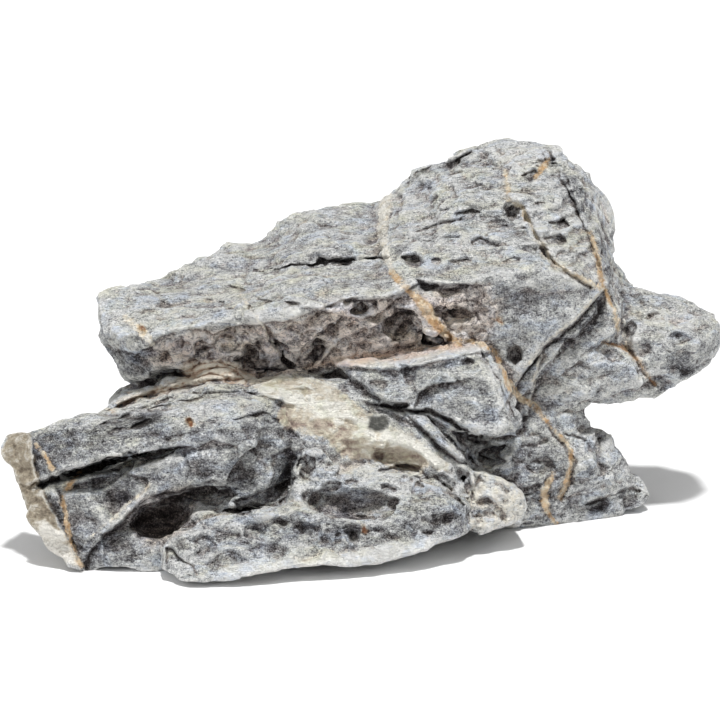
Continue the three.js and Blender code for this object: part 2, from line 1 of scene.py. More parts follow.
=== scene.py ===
"""The looks of a seiryu stone: its worked surface, its veins, its stains, shade painted into its hollows, and
a plain studio.

The stone's solid comes from the frame. It is copied, given a fine mesh, and carved further here.
Carving and painting are laid out in the front view, in steps of PIXEL millimetres: u runs to the
right, v runs down, and Drawing finds the place of any point there. Depths are in millimetres.
"""
import math

import bmesh
import bpy
import numpy as np
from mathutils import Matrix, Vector


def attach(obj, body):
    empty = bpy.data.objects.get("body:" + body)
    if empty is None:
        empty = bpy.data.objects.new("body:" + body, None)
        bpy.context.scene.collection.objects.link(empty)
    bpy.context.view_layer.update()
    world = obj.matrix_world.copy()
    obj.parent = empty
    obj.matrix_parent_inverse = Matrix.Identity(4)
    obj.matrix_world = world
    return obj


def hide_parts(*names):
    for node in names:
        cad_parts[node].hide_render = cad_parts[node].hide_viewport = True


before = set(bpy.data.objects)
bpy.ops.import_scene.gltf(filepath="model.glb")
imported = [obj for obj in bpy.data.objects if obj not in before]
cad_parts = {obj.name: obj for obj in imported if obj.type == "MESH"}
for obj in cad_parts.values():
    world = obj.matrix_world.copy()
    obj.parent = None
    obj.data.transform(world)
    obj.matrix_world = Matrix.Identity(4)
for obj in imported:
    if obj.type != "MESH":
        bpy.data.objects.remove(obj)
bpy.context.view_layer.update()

MM = 0.001

# The front view: how many steps wide it is, and the eye, tilt and plane that it was drawn with.
PICTURE = 720
PIXEL = 0.4
VIEW_TILT = math.radians(15)
EYE_DISTANCE = 1200.0
EYE_LEVEL = 87.2
DRAWING_PLANE = 50.0
# The frame's origin in the drawing, in millimetres, and the row that the ground is drawn at.
MIDDLE = np.array([3.4, 83.3, 0.0])
BASE_ROW = 578.0

# The mesh: what counts as base, how fine it is, and how many facets it is broken into.
BASE_SLACK = 0.5 * MM
FIRST_VOXEL = 0.9 * MM
FINE_VOXEL = 0.75 * MM
BROAD_FACETS = 15000
NARROW_FACETS = 70000
MOST_TRIANGLES = 197000


# ---------------------------------------------------------------- noise

def hashed(ix, iy, iz, seed):
    """A scattered 32-bit number for each lattice point."""
    with np.errstate(over="ignore"):
        h = ix.astype(np.uint32) * np.uint32(374761393)
        h = h + iy.astype(np.uint32) * np.uint32(668265263)
        h = h + iz.astype(np.uint32) * np.uint32(2246822519)
        h = h + np.uint32((seed * 3266489917) & 0xFFFFFFFF)
        h = (h ^ (h >> np.uint32(15))) * np.uint32(2246822519)
        h = (h ^ (h >> np.uint32(13))) * np.uint32(3266489917)
        return h ^ (h >> np.uint32(16))


def triple(h):
    """Three numbers between 0 and 1 from each hash, ten bits each."""
    return np.stack([h & 1023, h >> 10 & 1023, h >> 20 & 1023], 1).astype(np.float32) / 1023


# What brings the noise to about 1, and how much finer each layer of it is.
PERLIN_SCALE = 1.35
OCTAVE_STEP = 2.03


def perlin(p, seed):
    """Gradient noise between about -1 and 1 at each row of p."""
    cell = np.floor(p).astype(np.int64)
    f = (p - cell).astype(np.float32)
    w = f * f * f * (f * (f * 6 - 15) + 10)
    total = np.zeros(len(p), np.float32)
    for corner in range(8):
        step = np.array([corner & 1, corner >> 1 & 1, corner >> 2 & 1])
        lean = triple(hashed(*(cell + step).T, seed)) * 2 - 1
        share = np.where(step, w, 1 - w).prod(1)
        total += ((f - step) * lean).sum(1) * share
    return total * PERLIN_SCALE


def layered(p, octaves, seed, gain=0.5, shape=lambda noise: noise):
    """Several sizes of noise added up, each about half as wide as the last, and fainter by gain."""
    total = np.zeros(len(p), np.float32)
    size, most = 1.0, 0.0
    for octave in range(octaves):
        total += size * shape(perlin(p * OCTAVE_STEP ** octave, seed + octave))
        most += size
        size *= gain
    return total / most


def ridged(p, octaves, seed):
    """Sharp crests at 1 and round troughs towards 0."""
    return layered(p, octaves, seed, shape=lambda noise: (1 - np.abs(noise)) ** 2)


def swayed(p, reach, size, seeds):
    """Points moved by noise: how far, how wide the noise is, and a seed for each axis."""
    return p + reach * np.stack([layered(p / size, 2, seed) for seed in seeds], 1)


def around(p, seed):
    """For each of the 27 lattice cells round p: the offsets from its scattered point, and three numbers."""
    home = np.floor(p).astype(np.int64)
    for step in np.ndindex(3, 3, 3):
        cell = home + np.array(step) - 1
        away = p - cell - triple(hashed(*cell.T, seed))
        yield away.astype(np.float32), triple(hashed(*cell.T, seed + 50))


def bowls(p, seed, tilt=0.5, lift=0.45):
    """The lowest of many scattered bowls: hollows that meet in sharp crests, from about -0.2 to 0.9."""
    lowest = np.full(len(p), 9.0, np.float32)
    for away, random in around(p, seed):
        value = (away ** 2).sum(1) + tilt * (away * (random * 2 - 1)).sum(1) + lift * random[:, 0]
        np.minimum(lowest, value, out=lowest)
    return lowest


def shards(p, seed, bevel=0.16, tilt=1.1):
    """Tilted flat shards with short steep steps between them, from about -1 to 1."""
    near, second = np.full(len(p), 9.0, np.float32), np.full(len(p), 9.0, np.float32)
    here, next_ = np.zeros(len(p), np.float32), np.zeros(len(p), np.float32)
    for away, random in around(p, seed):
        distance = np.sqrt((away ** 2).sum(1))
        plane = tilt * (away * (random * 2 - 1)).sum(1) + random[:, 2] - 0.5
        closest, closer = distance < near, distance < second
        next_ = np.where(closest, here, np.where(closer, plane, next_))
        second = np.where(closest, near, np.where(closer, distance, second))
        here, near = np.where(closest, plane, here), np.where(closest, distance, near)
    return here + 0.5 * (1 - smooth(0, bevel, second - near)) * (next_ - here)


def smooth(low, high, value):
    """0 at low and 1 at high, with a soft start and end."""
    t = np.clip((value - low) / (high - low), 0, 1)
    return t * t * (3 - 2 * t)


# ---------------------------------------------------------------- the front view

class Drawing:
    """The place of each point in the front view: u, v, and its depth in millimetres."""

    def __init__(self, points):
        self.mm = points / MM
        x, y, z = (self.mm + MIDDLE).T
        rise = y * math.sin(VIEW_TILT) + z * math.cos(VIEW_TILT)
        self.deep = y * math.cos(VIEW_TILT) - z * math.sin(VIEW_TILT)
        spread = 1 + (self.deep - DRAWING_PLANE) / EYE_DISTANCE
        self.u = x / spread / PIXEL + PICTURE / 2
        self.v = BASE_ROW - (EYE_LEVEL + (rise - EYE_LEVEL) / spread) / PIXEL
        self.shown = self.seen(slack=3.0, fade=4.0)
        self.steady = np.stack([self.u, self.v, np.zeros(len(self.u))], 1)
        self.shake(reach=3.2, step=6.0, seed=31)

    def shake(self, reach, step, seed):
        """Moves u and v by noise, so that no outline stays regular."""
        rough = reach * layered(self.mm / step, 3, seed), reach * layered(self.mm / step, 3, seed + 9)
        self.u, self.v = self.u + rough[0], self.v + rough[1]

    def seen(self, slack, fade):
        """1 where a point is on the front surface, falling to 0 behind it."""
        size, margin = 3.0, 20
        most = int(PICTURE / size) + margin
        column = np.clip((self.u / size).astype(int), 0, most)
        row = np.clip((self.v / size).astype(int), 0, most)
        nearest = np.full((most + 1, most + 1), 1e6)
        np.minimum.at(nearest, (row, column), self.deep)
        return 1 - smooth(slack, slack + fade, self.deep - nearest[row, column])

    def inside(self, outline):
        """The distance to a closed outline, positive inside it."""
        nearest = np.full(len(self.u), 1e9)
        within = np.zeros(len(self.u), bool)
        for start, end in zip(outline, outline[1:] + outline[:1]):
            nearest = np.minimum(nearest, self.to_segment(start, end)[0])
            if start[1] != end[1]:
                spans = (start[1] > self.v) != (end[1] > self.v)
                slope = (end[0] - start[0]) / (end[1] - start[1])
                within ^= spans & (self.u < start[0] + (self.v - start[1]) * slope)
        return np.where(within, nearest, -nearest)

    def zone(self, outline, soft=5.0):
        """1 inside a closed outline and 0 outside, with a soft border."""
        return smooth(-soft, soft, self.inside(outline))

    def to_segment(self, start, end):
        """The distance to a segment, how far along it that is, and the side: positive to its right."""
        du, dv = end[0] - start[0], end[1] - start[1]
        au, av = self.u - start[0], self.v - start[1]
        t = np.clip((au * du + av * dv) / (du * du + dv * dv + 1e-9), 0, 1)
        return np.hypot(au - t * du, av - t * dv), t, du * av - dv * au

    def beside(self, line):
        """The distance to a line of (u, v, half width), less the half width there."""
        nearest = np.full(len(self.u), 1e9)
        for start, end in zip(line, line[1:]):
            away, t, _ = self.to_segment(start, end)
            nearest = np.minimum(nearest, away - start[2] - t * (end[2] - start[2]))
        return nearest

    def right_of(self, line):
        """The distance to a line, negative on its left."""
        nearest = np.full(len(self.u), 1e9)
        side = np.ones(len(self.u))
        for start, end in zip(line, line[1:]):
            away, _, cross = self.to_segment(start, end)
            side = np.where(away < nearest, np.sign(cross), side)
            nearest = np.minimum(nearest, away)
        return nearest * side

    def oval(self, centre, half, turn):
        """The places of the points in an oval's own axes: both within 1 inside it."""
        angle = math.radians(turn)
        du, dv = self.u - centre[0], self.v - centre[1]
        along = (du * math.cos(angle) - dv * math.sin(angle)) / half[0]
        return along, (du * math.sin(angle) + dv * math.cos(angle)) / half[1]


def eye_place():
    """The eye's place in the frame."""
    y = EYE_LEVEL * math.sin(VIEW_TILT) + (DRAWING_PLANE - EYE_DISTANCE) * math.cos(VIEW_TILT)
    z = EYE_LEVEL * math.cos(VIEW_TILT) - (DRAWING_PLANE - EYE_DISTANCE) * math.sin(VIEW_TILT)
    return (np.array([0, y, z]) - MIDDLE) * MM


# ---------------------------------------------------------------- meshes

def read_points(mesh):
    points = np.empty(len(mesh.vertices) * 3, np.float32)
    mesh.vertices.foreach_get("co", points)
    return points.reshape(-1, 3).astype(np.float64)


def write_points(mesh, points):
    mesh.vertices.foreach_set("co", points.astype(np.float32).ravel())
    mesh.update()


def read_normals(mesh, edges, rounds):
    """Vertex normals, evened out over some rounds of neighbours."""
    normals = np.empty(len(mesh.vertices) * 3, np.float32)
    mesh.vertex_normals.foreach_get("vector", normals)
    normals = relaxed(normals.reshape(-1, 3).astype(np.float64), edges, rounds)
    return normals / np.linalg.norm(normals, axis=1)[:, None]


def read_edges(mesh):
    edges = np.empty(len(mesh.edges) * 2, np.int32)
    mesh.edges.foreach_get("vertices", edges)
    return edges.reshape(-1, 2)


def relaxed(values, edges, rounds, share=0.5):
    """Values moved towards the mean of their neighbours, some rounds over."""
    count = np.bincount(edges.ravel(), minlength=len(values))[:, None]
    for _ in range(rounds):
        total = np.empty_like(values)
        for k in range(values.shape[1]):
            total[:, k] = np.bincount(edges[:, 0], values[edges[:, 1], k], len(values))
            total[:, k] += np.bincount(edges[:, 1], values[edges[:, 0], k], len(values))
        values = values + share * (total / count - values)
    return values


def with_modifier(thing, kind, **settings):
    """Adds a modifier, sets it, and applies it."""
    modifier = thing.modifiers.new(kind.title(), kind)
    for key, value in settings.items():
        setattr(modifier, key, value)
    made = bpy.data.meshes.new_from_object(thing.evaluated_get(bpy.context.evaluated_depsgraph_get()))
    old = thing.data
    thing.modifiers.clear()
    thing.data = made
    bpy.data.meshes.remove(old)


def store(mesh, name, values):
    """Keeps a number for each point, for the material to read."""
    mesh.attributes.new(name, "FLOAT", "POINT").data.foreach_set("value", np.asarray(values, np.float32))


# ---------------------------------------------------------------- places in the front view

def path(text):
    """A line or an outline, written as rows of numbers: "u,v u,v" or "u,v,width u,v,width"."""
    return [tuple(float(number) for number in row.split(",")) for row in text.split()]


ZONES = {
    "under": path("150,347 190,332 258,324 300,318 338,301 380,300 440,288 490,284 500,310 485,345 400,352 "
                  "330,362 300,372 240,374 180,368 140,365"),
    "flaky": path("383,206 405,182 470,148 560,142 590,190 604,282 500,282 440,284 398,292 380,250"),
    "rim": path("143,346 158,331 200,321 258,315 298,312 338,296 345,302 305,322 260,330 212,338 165,352"),
    "peak face": path("440,300 500,283 600,289 575,325 535,362 505,345 470,335"),
    "beds": path("98,424 128,384 180,364 235,360 262,374 290,396 200,400 110,424"),
    "brown beds": path("180,378 184,366 215,360 240,368 300,370 330,356 395,348 460,338 470,346 400,360 "
                       "330,368 262,378 246,384 215,376"),
    "ochre": path("176,380 182,366 215,360 236,364 250,376 246,386 215,382 180,390 135,402 112,414 108,408 "
                  "132,394"),
    "mid face": path("180,440 215,420 282,404 300,430 292,500 235,498 180,486"),
    "left top": path("31,434 60,428 100,424 150,412 190,412 205,425 178,444 110,455 60,470 38,480"),
    "left face": path("40,490 110,470 180,450 215,476 140,498 124,518 150,554 125,567 82,568 52,515"),
    "right slab": path("395,508 440,492 468,500 470,532 440,540 400,545 372,530"),
    "table": path("330,470 350,461 400,474 415,482 404,490 396,481 330,486"),
    "block top": path("330,362 345,355 400,350 478,345 484,352 440,360 400,366 335,368"),
    "block edge": path("478,350 490,352 514,410 506,434 496,430 500,408 480,368"),
    "side shade": path("560,165 572,170 592,205 606,238 602,264 588,232 574,202 564,186"),
    "side light": path("588,190 604,200 614,222 611,240 602,234 592,212"),
    "slope": path("150,412 215,404 285,402 276,412 215,422 190,426"),
    "left low": path("38,520 58,530 84,566 60,562 44,548"),
    "left end": path("0,455 8,434 20,428 31,432 36,470 53,512 82,568 40,552 18,500"),
    "crust": path("168,548 180,526 215,518 245,510 285,498 312,508 345,520 385,530 402,538 380,548 330,557 "
                  "280,562 230,566 200,572 172,560"),
    "strip": path("215,582 225,566 300,557 360,550 440,536 470,540 440,550 300,580"),
    "lobes": path("468,530 468,486 478,472 500,475 522,490 528,505 510,530"),
    "block": path("330,362 400,362 480,347 512,412 505,440 415,410 375,403 330,385"),
    "core": path("410,412 470,432 500,440 520,400 560,430 570,470 548,525 525,500 480,478 430,446"),
    "bowl": path("290,488 330,486 397,482 396,505 350,522 300,512"),
    "cave": path("125,518 140,500 160,492 180,486 190,484 196,500 192,513 190,528 150,550 135,534"),
    "calcite": path("246,380 262,373 300,375 325,381 345,393 360,406 371,417 400,428 422,440 437,455 "
                    "452,462 448,472 428,466 420,476 395,472 372,464 350,461 338,452 326,440 308,432 "
                    "284,430 278,414 284,402 262,396"),
}

# Hollows: u, v, half width, half height, depth (below 0 for a mound), turn in degrees, and how much
# deeper the top side is than the bottom side.
HOLLOWS = [
    # on the top and the peak
    (222, 305, 5, 4, 2.4, 0, 0.7), (252, 309, 5, 4, 2.4, -20, 0.7), (208, 301, 6, 3, 1.2, 0, 0.5),
    (286, 303, 14, 3, 2.4, -8, 0.8), (436, 262, 7, 4, 2.0, 0, 0.6), (402, 246, 8, 3, 1.8, 15, 0.6),
    (425, 243, 10, 3, 1.8, 10, 0.6), (521, 232, 9, 6, 2.2, 0, 0.6), (541, 252, 10, 6, 2.2, -20, 0.6),
    (432, 191, 6, 4, 2.4, -15, 0.7), (440, 212, 12, 3, 1.6, 8, 0.7), (512, 262, 12, 3, 1.4, 6, 0.7),
    (460, 262, 14, 3, 1.4, 4, 0.7), (505, 188, 9, 3, 1.2, 15, 0.7), (452, 238, 10, 3, 1.4, 0, 0.7),
    (540, 205, 8, 3, 1.2, 0, 0.7), (345, 240, 9, 3, 1.2, 5, 0.7), (300, 250, 9, 3, 1.2, 5, 0.7),
    # under the upper slab's rim
    (290, 332, 12, 8, 1.4, 0, 0.3),
    (331, 335, 9, 8, 0.8, 20, 0.3), (371, 334, 10, 5, 0.8, 20, 0.3), (436, 338, 16, 8, -7.0, -8, 0.0),
    (317, 349, 6, 8, -2.6, 0, 0.0), (254, 351, 6, 11, -2.4, 0, 0.0), (357, 306, 8, 6, -2.6, 0, 0.0),
    (165, 356, 8, 7, 1.6, 20, 0.3), (188, 345, 9, 6, 1.6, -20, 0.3), (226, 340, 12, 8, 1.6, 0, 0.3),
    (212, 356, 7, 6, 1.8, 0, 0.3),
    (452, 290, 12, 3, 1.6, 4, 0.7),
    # the front slab's crust
    (250, 524, 13, 7, 1.2, -14, 0.5), (280, 523, 10, 5, 1.2, 6, 0.5),
    (338, 539, 5, 8, 1.8, -8, 0.3), (354, 538, 7, 8, 1.6, 10, 0.3), (428, 533, 6, 3, 2.2, 0, 0.6),
    (445, 521, 20, 9, 1.2, 28, 0.2),
    (455, 504, 10, 6, 1.0, -30, 0.3),
    # the bridge, the bowl and the lobes
    (389, 489, 10, 6, 2.2, -20, 0.3), (332, 487, 13, 6, 2.0, 10, 0.3), (366, 519, 15, 5, 1.8, -8, 0.3),
    (311, 498, 10, 9, 2.2, 0, 0.2), (352, 483, 9, 5, 1.8, 0, 0.4), (394, 503, 8, 5, 1.6, 30, 0.2),
    (304, 467, 7, 12, 2.2, 6, 0.2), (330, 468, 8, 6, 1.2, 20, 0.3), (406, 480, 9, 6, 2.0, 0, 0.4),
    (417, 482, 8, 6, 2.4, 0, 0.4), (448, 489, 9, 5, 2.2, -38, 0.4), (459, 478, 8, 9, 2.4, -10, 0.4),
    (469, 486, 5, 16, 3.0, 12, 0.3), (484, 502, 10, 6, 2.4, 10, 0.4), (498, 512, 14, 7, 2.2, -50, 0.3),
    (478, 519, 8, 6, 2.0, 0, 0.4), (500, 487, 12, 4, 1.8, -36, 0.4), (490, 515, 8, 5, 2.0, 0, 0.4),
    # the lower-left slab
    (92, 546, 14, 9, 0.8, 0, 0.3), (86, 486, 24, 5, 1.6, 14, 0.6), (140, 425, 16, 4, 2.4, 22, 0.6),
    (118, 432, 16, 4, 1.6, 20, 0.6), (150, 409, 18, 3, 1.8, 16, 0.6), (190, 421, 4, 3, 2.0, 0, 0.6),
    (175, 438, 12, 5, 1.4, 10, 0.4), (248, 470, 34, 18, 0.8, 18, 0.2),
    # the calcite and the block
    (404, 458, 24, 11, 0.7, -14, 0.4), (379, 455, 6, 8, 2.0, 20, 0.4), (406, 468, 16, 4, 1.0, -3, 0.6),
    (379, 424, 13, 8, -1.0, -18, 0.0), (436, 462, 9, 6, -2.0, -20, 0.0), (320, 400, 16, 9, -1.4, -20, 0.0),
    (342, 424, 22, 8, 1.6, -12, 0.2), (300, 392, 16, 5, 1.2, 0, 0.3), (410, 376, 7, 12, 1.4, -20, 0.2),
    (412, 368, 8, 4, 1.0, 0, 0.5), (468, 362, 9, 5, 1.8, 0, 0.5),
    (378, 386, 12, 8, 1.6, 0, 0.2), (486, 461, 13, 5, 3.2, -16, 0.6), (505, 452, 10, 6, 1.2, 0, 0.5),
    (478, 446, 12, 9, 1.8, 20, 0.4), (522, 418, 7, 5, 2.8, 10, 0.6), (535, 440, 14, 9, 1.6, 0, 0.4),
    (540, 466, 18, 10, 2.2, 10, 0.4), (530, 490, 14, 6, 2.2, 20, 0.4), (548, 488, 6, 12, 1.8, 10, 0.3),
    # the arm, the shoulder and the foot
    (607, 274, 6, 8, 3.0, 0, 0.5), (630, 330, 6, 10, 2.6, -15, 0.3), (655, 318, 12, 6, 1.8, 10, 0.4),
    (680, 340, 16, 8, 1.6, 0, 0.3), (690, 368, 12, 7, 1.8, 20, 0.3), (640, 350, 14, 10, 1.8, 0, 0.3),
    (612, 355, 14, 8, 1.6, -10, 0.3), (575, 370, 16, 10, 1.8, 10, 0.3), (650, 385, 8, 6, 1.2, 0, 0.3),
    (585, 430, 9, 6, 1.6, 0, 0.4), (600, 470, 14, 8, 1.4, 0, 0.3), (596, 505, 16, 9, 1.8, 10, 0.3),
    (628, 498, 14, 10, 1.4, 20, 0.3), (575, 500, 8, 12, 1.2, 0, 0.3),
]

# Cracks: depth, and a line of (u, v, half width).
CRACKS = [
    (5.0, path("254,271,1 266,273,3 280,271,2.5 292,265,1.2 306,268,2.2 318,264,1 322,261,3 345,261,2.5 "
               "365,260,2.2 386,258,1.2")),
    (1.8, path("228,286,0.6 246,292,1.6 262,301,1.2 300,305,1.6")),
    (3.0, path("408,184,1 418,174,2.4 438,167,2.6 456,163,3.4 470,152,1")),
    (2.6, path("416,233,1 430,230,2.2 445,223,1.6 462,219,1")),
    (1.2, path("552,162,1 562,170,2 567,186,3 574,205,2.5 583,222,2 592,236,1")),
    (3.4, path("523,208,1 530,224,2.2 537,238,2.4 545,254,2.4 556,268,3 572,277,1.6 592,287,0.8")),
    (1.2, path("518,382,0.4 530,366,0.8 545,349,1 559,338,1 581,319,1 598,298,0.6")),
    (1.0, path("604,290,1 612,300,1.2 620,318,1 626,338,1")),
    (1.4, path("602,341,0.6 620,345,0.8 634,356,1.0 640,368,0.8 656,386,0.6")),
    (6.0, path("381,405,1.2 398,409,2.6 416,412,1.4 430,411,2 444,418,2.6 456,426,2.6 470,434,2 "
               "484,437,1.2 497,437,0.8")),
    (3.0, path("404,414,1 420,428,1.6 438,446,1.8 455,458,2.4 472,470,1.4")),
    (3.0, path("428,418,1 446,438,2 462,454,2.4 478,466,1.2")),
    (2.6, path("434,476,1 446,488,2.4 462,503,1.4")),
    (4.0, path("152,375,3 166,372,4.5 176,373,3 188,377,1.4")),
    (2.6, path("105,414,1 130,401,2 158,395,2.4 182,388,1.6 206,384,1")),
    (2.2, path("122,417,0.8 150,405,1.6 178,398,1.6 214,393,1.2 246,392,0.8")),
    (1.8, path("183,379,1 200,372,1.6 216,367,1 236,372,1.4 246,382,1")),
    (2.6, path("225,366,0.8 243,368,2 262,371,3 284,370,1.4 300,368,0.8")),
    (1.8, path("196,377,0.8 212,374,1.2 228,379,0.8")),
    (1.2, path("60,492,1 64,510,1.2 70,535,1.2 80,562,1")),
    (1.4, path("168,548,1 178,556,1 190,566,1.4 198,575,1")),
    (2.4, path("467,500,1.2 468,515,1.6 468,532,1.2")),
    (1.0, path("232,566,0.5 246,563,1.0 254,566,0.4")),
    (2.0, path("566,434,1 585,440,1 600,438,0.8")),
    (1.2, path("548,428,1 562,444,1.6 574,462,2.4 571,480,2.4 560,500,1")),
    (1.8, path("640,492,1 628,488,1 614,494,1 600,500,1 586,504,1")),
]

# Ledges: depth, how far it takes to die out, and a line of (u, v). What lies to the right of the
# line, as it runs, steps back.
LEDGES = [
    (3.0, 26, path("148,346 165,334 190,327 213,331 235,326 258,323 285,320 300,317")),
    (3.5, 22, path("322,308 338,300 360,298 378,300 400,293 416,284 440,284 470,283")),
    (3.0, 24, path("314,309 335,313 361,319 376,315 386,307")),
    (2.4, 22, path("326,356 334,345 354,333 376,325")),
    (4.2, 40, path("514,388 519,379 528,366 543,347 558,334 580,316 592,302 602,291")),
    (3.0, 26, path("530,402 534,380 541,356")),
    (3.0, 30, path("556,164 566,186 577,208 588,232 600,262 604,288")),
    (6.0, 14, path("38,481 60,471 90,464 110,456 150,450 182,446")),
    (3.0, 18, path("124,519 140,501 160,492 180,490 200,483 216,480 229,485")),
    (2.2, 40, path("84,566 52,510 37,480 31,432")),
    (3.0, 30, path("84,562 92,548 110,530 126,516")),
    (3.0, 20, path("180,372 200,363 222,361 240,369 268,373 300,371")),
    (2.4, 16, path("105,411 130,399 165,387 200,379 250,379")),
    (2.6, 18, path("108,421 160,406 200,397 250,392 284,402")),
    (2.6, 26, path("330,372 345,366 400,370 430,362 480,352")),
    (2.6, 22, path("416,400 418,392 430,384 452,381")),
    (2.4, 30, path("482,350 500,380 513,412")),
    (4.0, 22, path("378,404 398,407 414,411 440,413 458,424 484,440 505,436 515,426")),
    (3.0, 20, path("400,416 430,434 455,458 476,474")),
    (3.0, 24, path("300,462 296,478 288,494 250,514")),
    (2.4, 24, path("470,532 468,515 470,498 476,482")),
]

# Cuts: a closed outline of (u, v), then two places (u, v, depth) that the depth runs between.
CUTS = [
    (path("247,344 258,341 264,351 272,360 268,371 246,368 232,361 236,354 248,354"),
     (258, 342, 4.0), (252, 372, 3.4)),
    (path("265,326 271,329 276,341 285,354 297,366 296,371 288,368 279,357 270,342"),
     (274, 330, 2.5), (292, 368, 6.5)),
    (path("36,485 60,474 90,465 110,458 150,450 180,446 172,454 150,463 120,472 90,476 60,482 42,489"),
     (60, 470, 9.0), (160, 455, 9.0)),
    (path("299,350 311,343 325,346 322,356 312,367 302,369 297,361"), (314, 342, 4.6), (306, 368, 2.0)),
    (path("343,302 350,298 378,300 379,311 369,317 357,316 345,309"), (362, 298, 3.4), (362, 318, 0.6)),
    (path("384,322 393,309 408,309 421,318 424,338 412,346 398,342 384,334"),
     (405, 308, 3.6), (400, 346, 0.6)),
    (path("437,311 455,306 474,311 483,320 470,326 457,334 443,325"), (458, 307, 2.2), (458, 334, 0.2)),
    (path("416,281 427,283 440,284 436,291 424,292"), (428, 282, 5.5), (428, 292, 2.5)),
    (path("505,346 513,341 521,349 523,360 516,365 508,360"), (508, 344, 0.6), (517, 364, 5.0)),
    (path("455,214 474,209 481,213 471,220 460,222"), (468, 210, 4.5), (466, 222, 1.5)),
    (path("471,242 482,237 497,244 502,249 482,250 473,247"), (484, 238, 3.0), (486, 251, 0.6)),
    (path("503,210 514,205 524,206 522,217 511,222 505,218"), (513, 205, 2.6), (513, 222, 0.8)),
    (path("547,223 564,218 568,227 558,233 548,230"), (557, 219, 4.0), (557, 233, 1.2)),
    (path("542,238 560,235 568,242 556,248 546,244"), (555, 236, 3.5), (555, 248, 1.0)),
    (path("522,176 534,170 539,175 529,183"), (531, 171, 4.0), (530, 183, 1.5)),
    (path("545,166 556,162 562,167 553,171"), (553, 163, 3.0), (553, 171, 1.0)),
    (path("402,257 415,254 423,264 416,270 407,265"), (412, 255, 4.5), (414, 270, 1.5)),
    (path("415,398 421,391 434,385 450,382 452,388 440,397 426,401"), (432, 384, 1.4), (436, 402, 0.0)),
    (path("398,364 406,366 414,378 418,392 412,390 404,378"), (408, 366, 1.2), (414, 392, 0.8)),
    (path("477,452 492,445 505,446 498,455 506,462 488,470 478,463"), (492, 446, 6.5), (490, 470, 2.5)),
    (path("272,455 290,448 297,458 291,480 280,497 266,498 272,478"), (292, 466, 3.4), (268, 478, 1.0)),
    (path("298,460 306,454 314,458 316,470 310,480 301,478 297,470"), (300, 462, 3.6), (314, 476, 1.4)),
    (path("232,502 262,490 290,479 300,474 318,482 326,496 316,505 300,508 288,504 272,512 256,520 238,514"),
     (324, 495, 0.0), (290, 497, 3.6)),
    (path("166,548 172,548 184,560 197,574 190,580 176,580 166,572"), (172, 550, 2.6), (190, 578, 0.4)),
    (path("458,438 474,436 490,440 486,452 474,460 464,456"), (470, 438, 2.4), (476, 462, 0.4)),
    (path("274,430 290,428 304,440 308,450 296,452 282,446"), (300, 436, 1.4), (286, 450, 0.2)),
    (path("106,346 118,350 136,352 148,360 150,372 138,376 124,374 110,360"),
     (128, 350, 2.0), (126, 376, 1.0)),
    (path("378,471 398,464 424,466 420,474 400,474"), (400, 466, 5.0), (400, 475, 2.5)),
    (path("411,488 418,482 425,486 420,498 412,497"), (418, 484, 3.0), (416, 498, 1.5)),
    (path("92,480 118,470 146,478 150,488 132,503 116,516 100,508 90,494"),
     (118, 472, 2.6), (112, 514, 0.6)),
    (path("102,536 118,524 128,520 150,545 152,556 128,562 104,556"), (120, 524, 2.4), (130, 560, 0.6)),
    (path("233,420 262,412 280,420 284,440 270,450 248,440"), (258, 414, 1.8), (262, 446, 0.4)),
    (path("182,452 214,440 238,446 244,470 220,478 190,474"), (212, 442, 1.6), (216, 476, 0.4)),
]


# ---------------------------------------------------------------- relief
#
# Noise is measured in millimetres across, deep and up, or in steps of the front view.

def stair(s, riser):
    """Rises fast by riser of a step, then falls back slowly."""
    part = s - np.floor(s)
    return smooth(0, riser, part) - part


# The stone's beds: the way that they are stacked, and how thick they are in millimetres.
ACROSS_BEDS = (-0.10, -0.22, 0.97)
COARSE_BED = 3.4
FINE_BED = 1.5


def bedding(mm, seed=5):
    """Small ledges where thin beds break off one after another: coarse ones and fine ones."""
    across = mm @ ACROSS_BEDS
    coarse = across / COARSE_BED + 1.3 * layered(mm / (34, 14, 14), 4, seed, gain=0.62)
    fine = across / FINE_BED + 1.9 * layered(mm / (15, 5, 5), 4, seed + 10, gain=0.66)
    return stair(coarse, riser=0.2), stair(fine, riser=0.3)


def zones(drawing, weights):
    """The sum of some zones, each times its weight."""
    return sum(weight * drawing.zone(ZONES[name]) for name, weight in weights.items()) * drawing.shown


# How calm and how rough each place is, 0 to 1.
CALM = {"peak face": 0.8, "mid face": 0.75, "left top": 0.5, "left face": 0.7, "strip": 0.6, "block": 0.6,
        "bowl": 0.9, "cave": 0.5, "calcite": 0.4, "left end": 0.5, "right slab": 0.5, "table": 0.2}
ROUGH = {"crust": 0.8, "core": 0.4, "lobes": 0.6, "calcite": 0.3}


def patches(mm):
    """Where the surface is broken small, near 1, and where it is calm, near 0.3."""
    return 0.3 + 0.7 * smooth(-0.25, 0.35, layered(mm / (34, 26, 18), 3, seed=97))


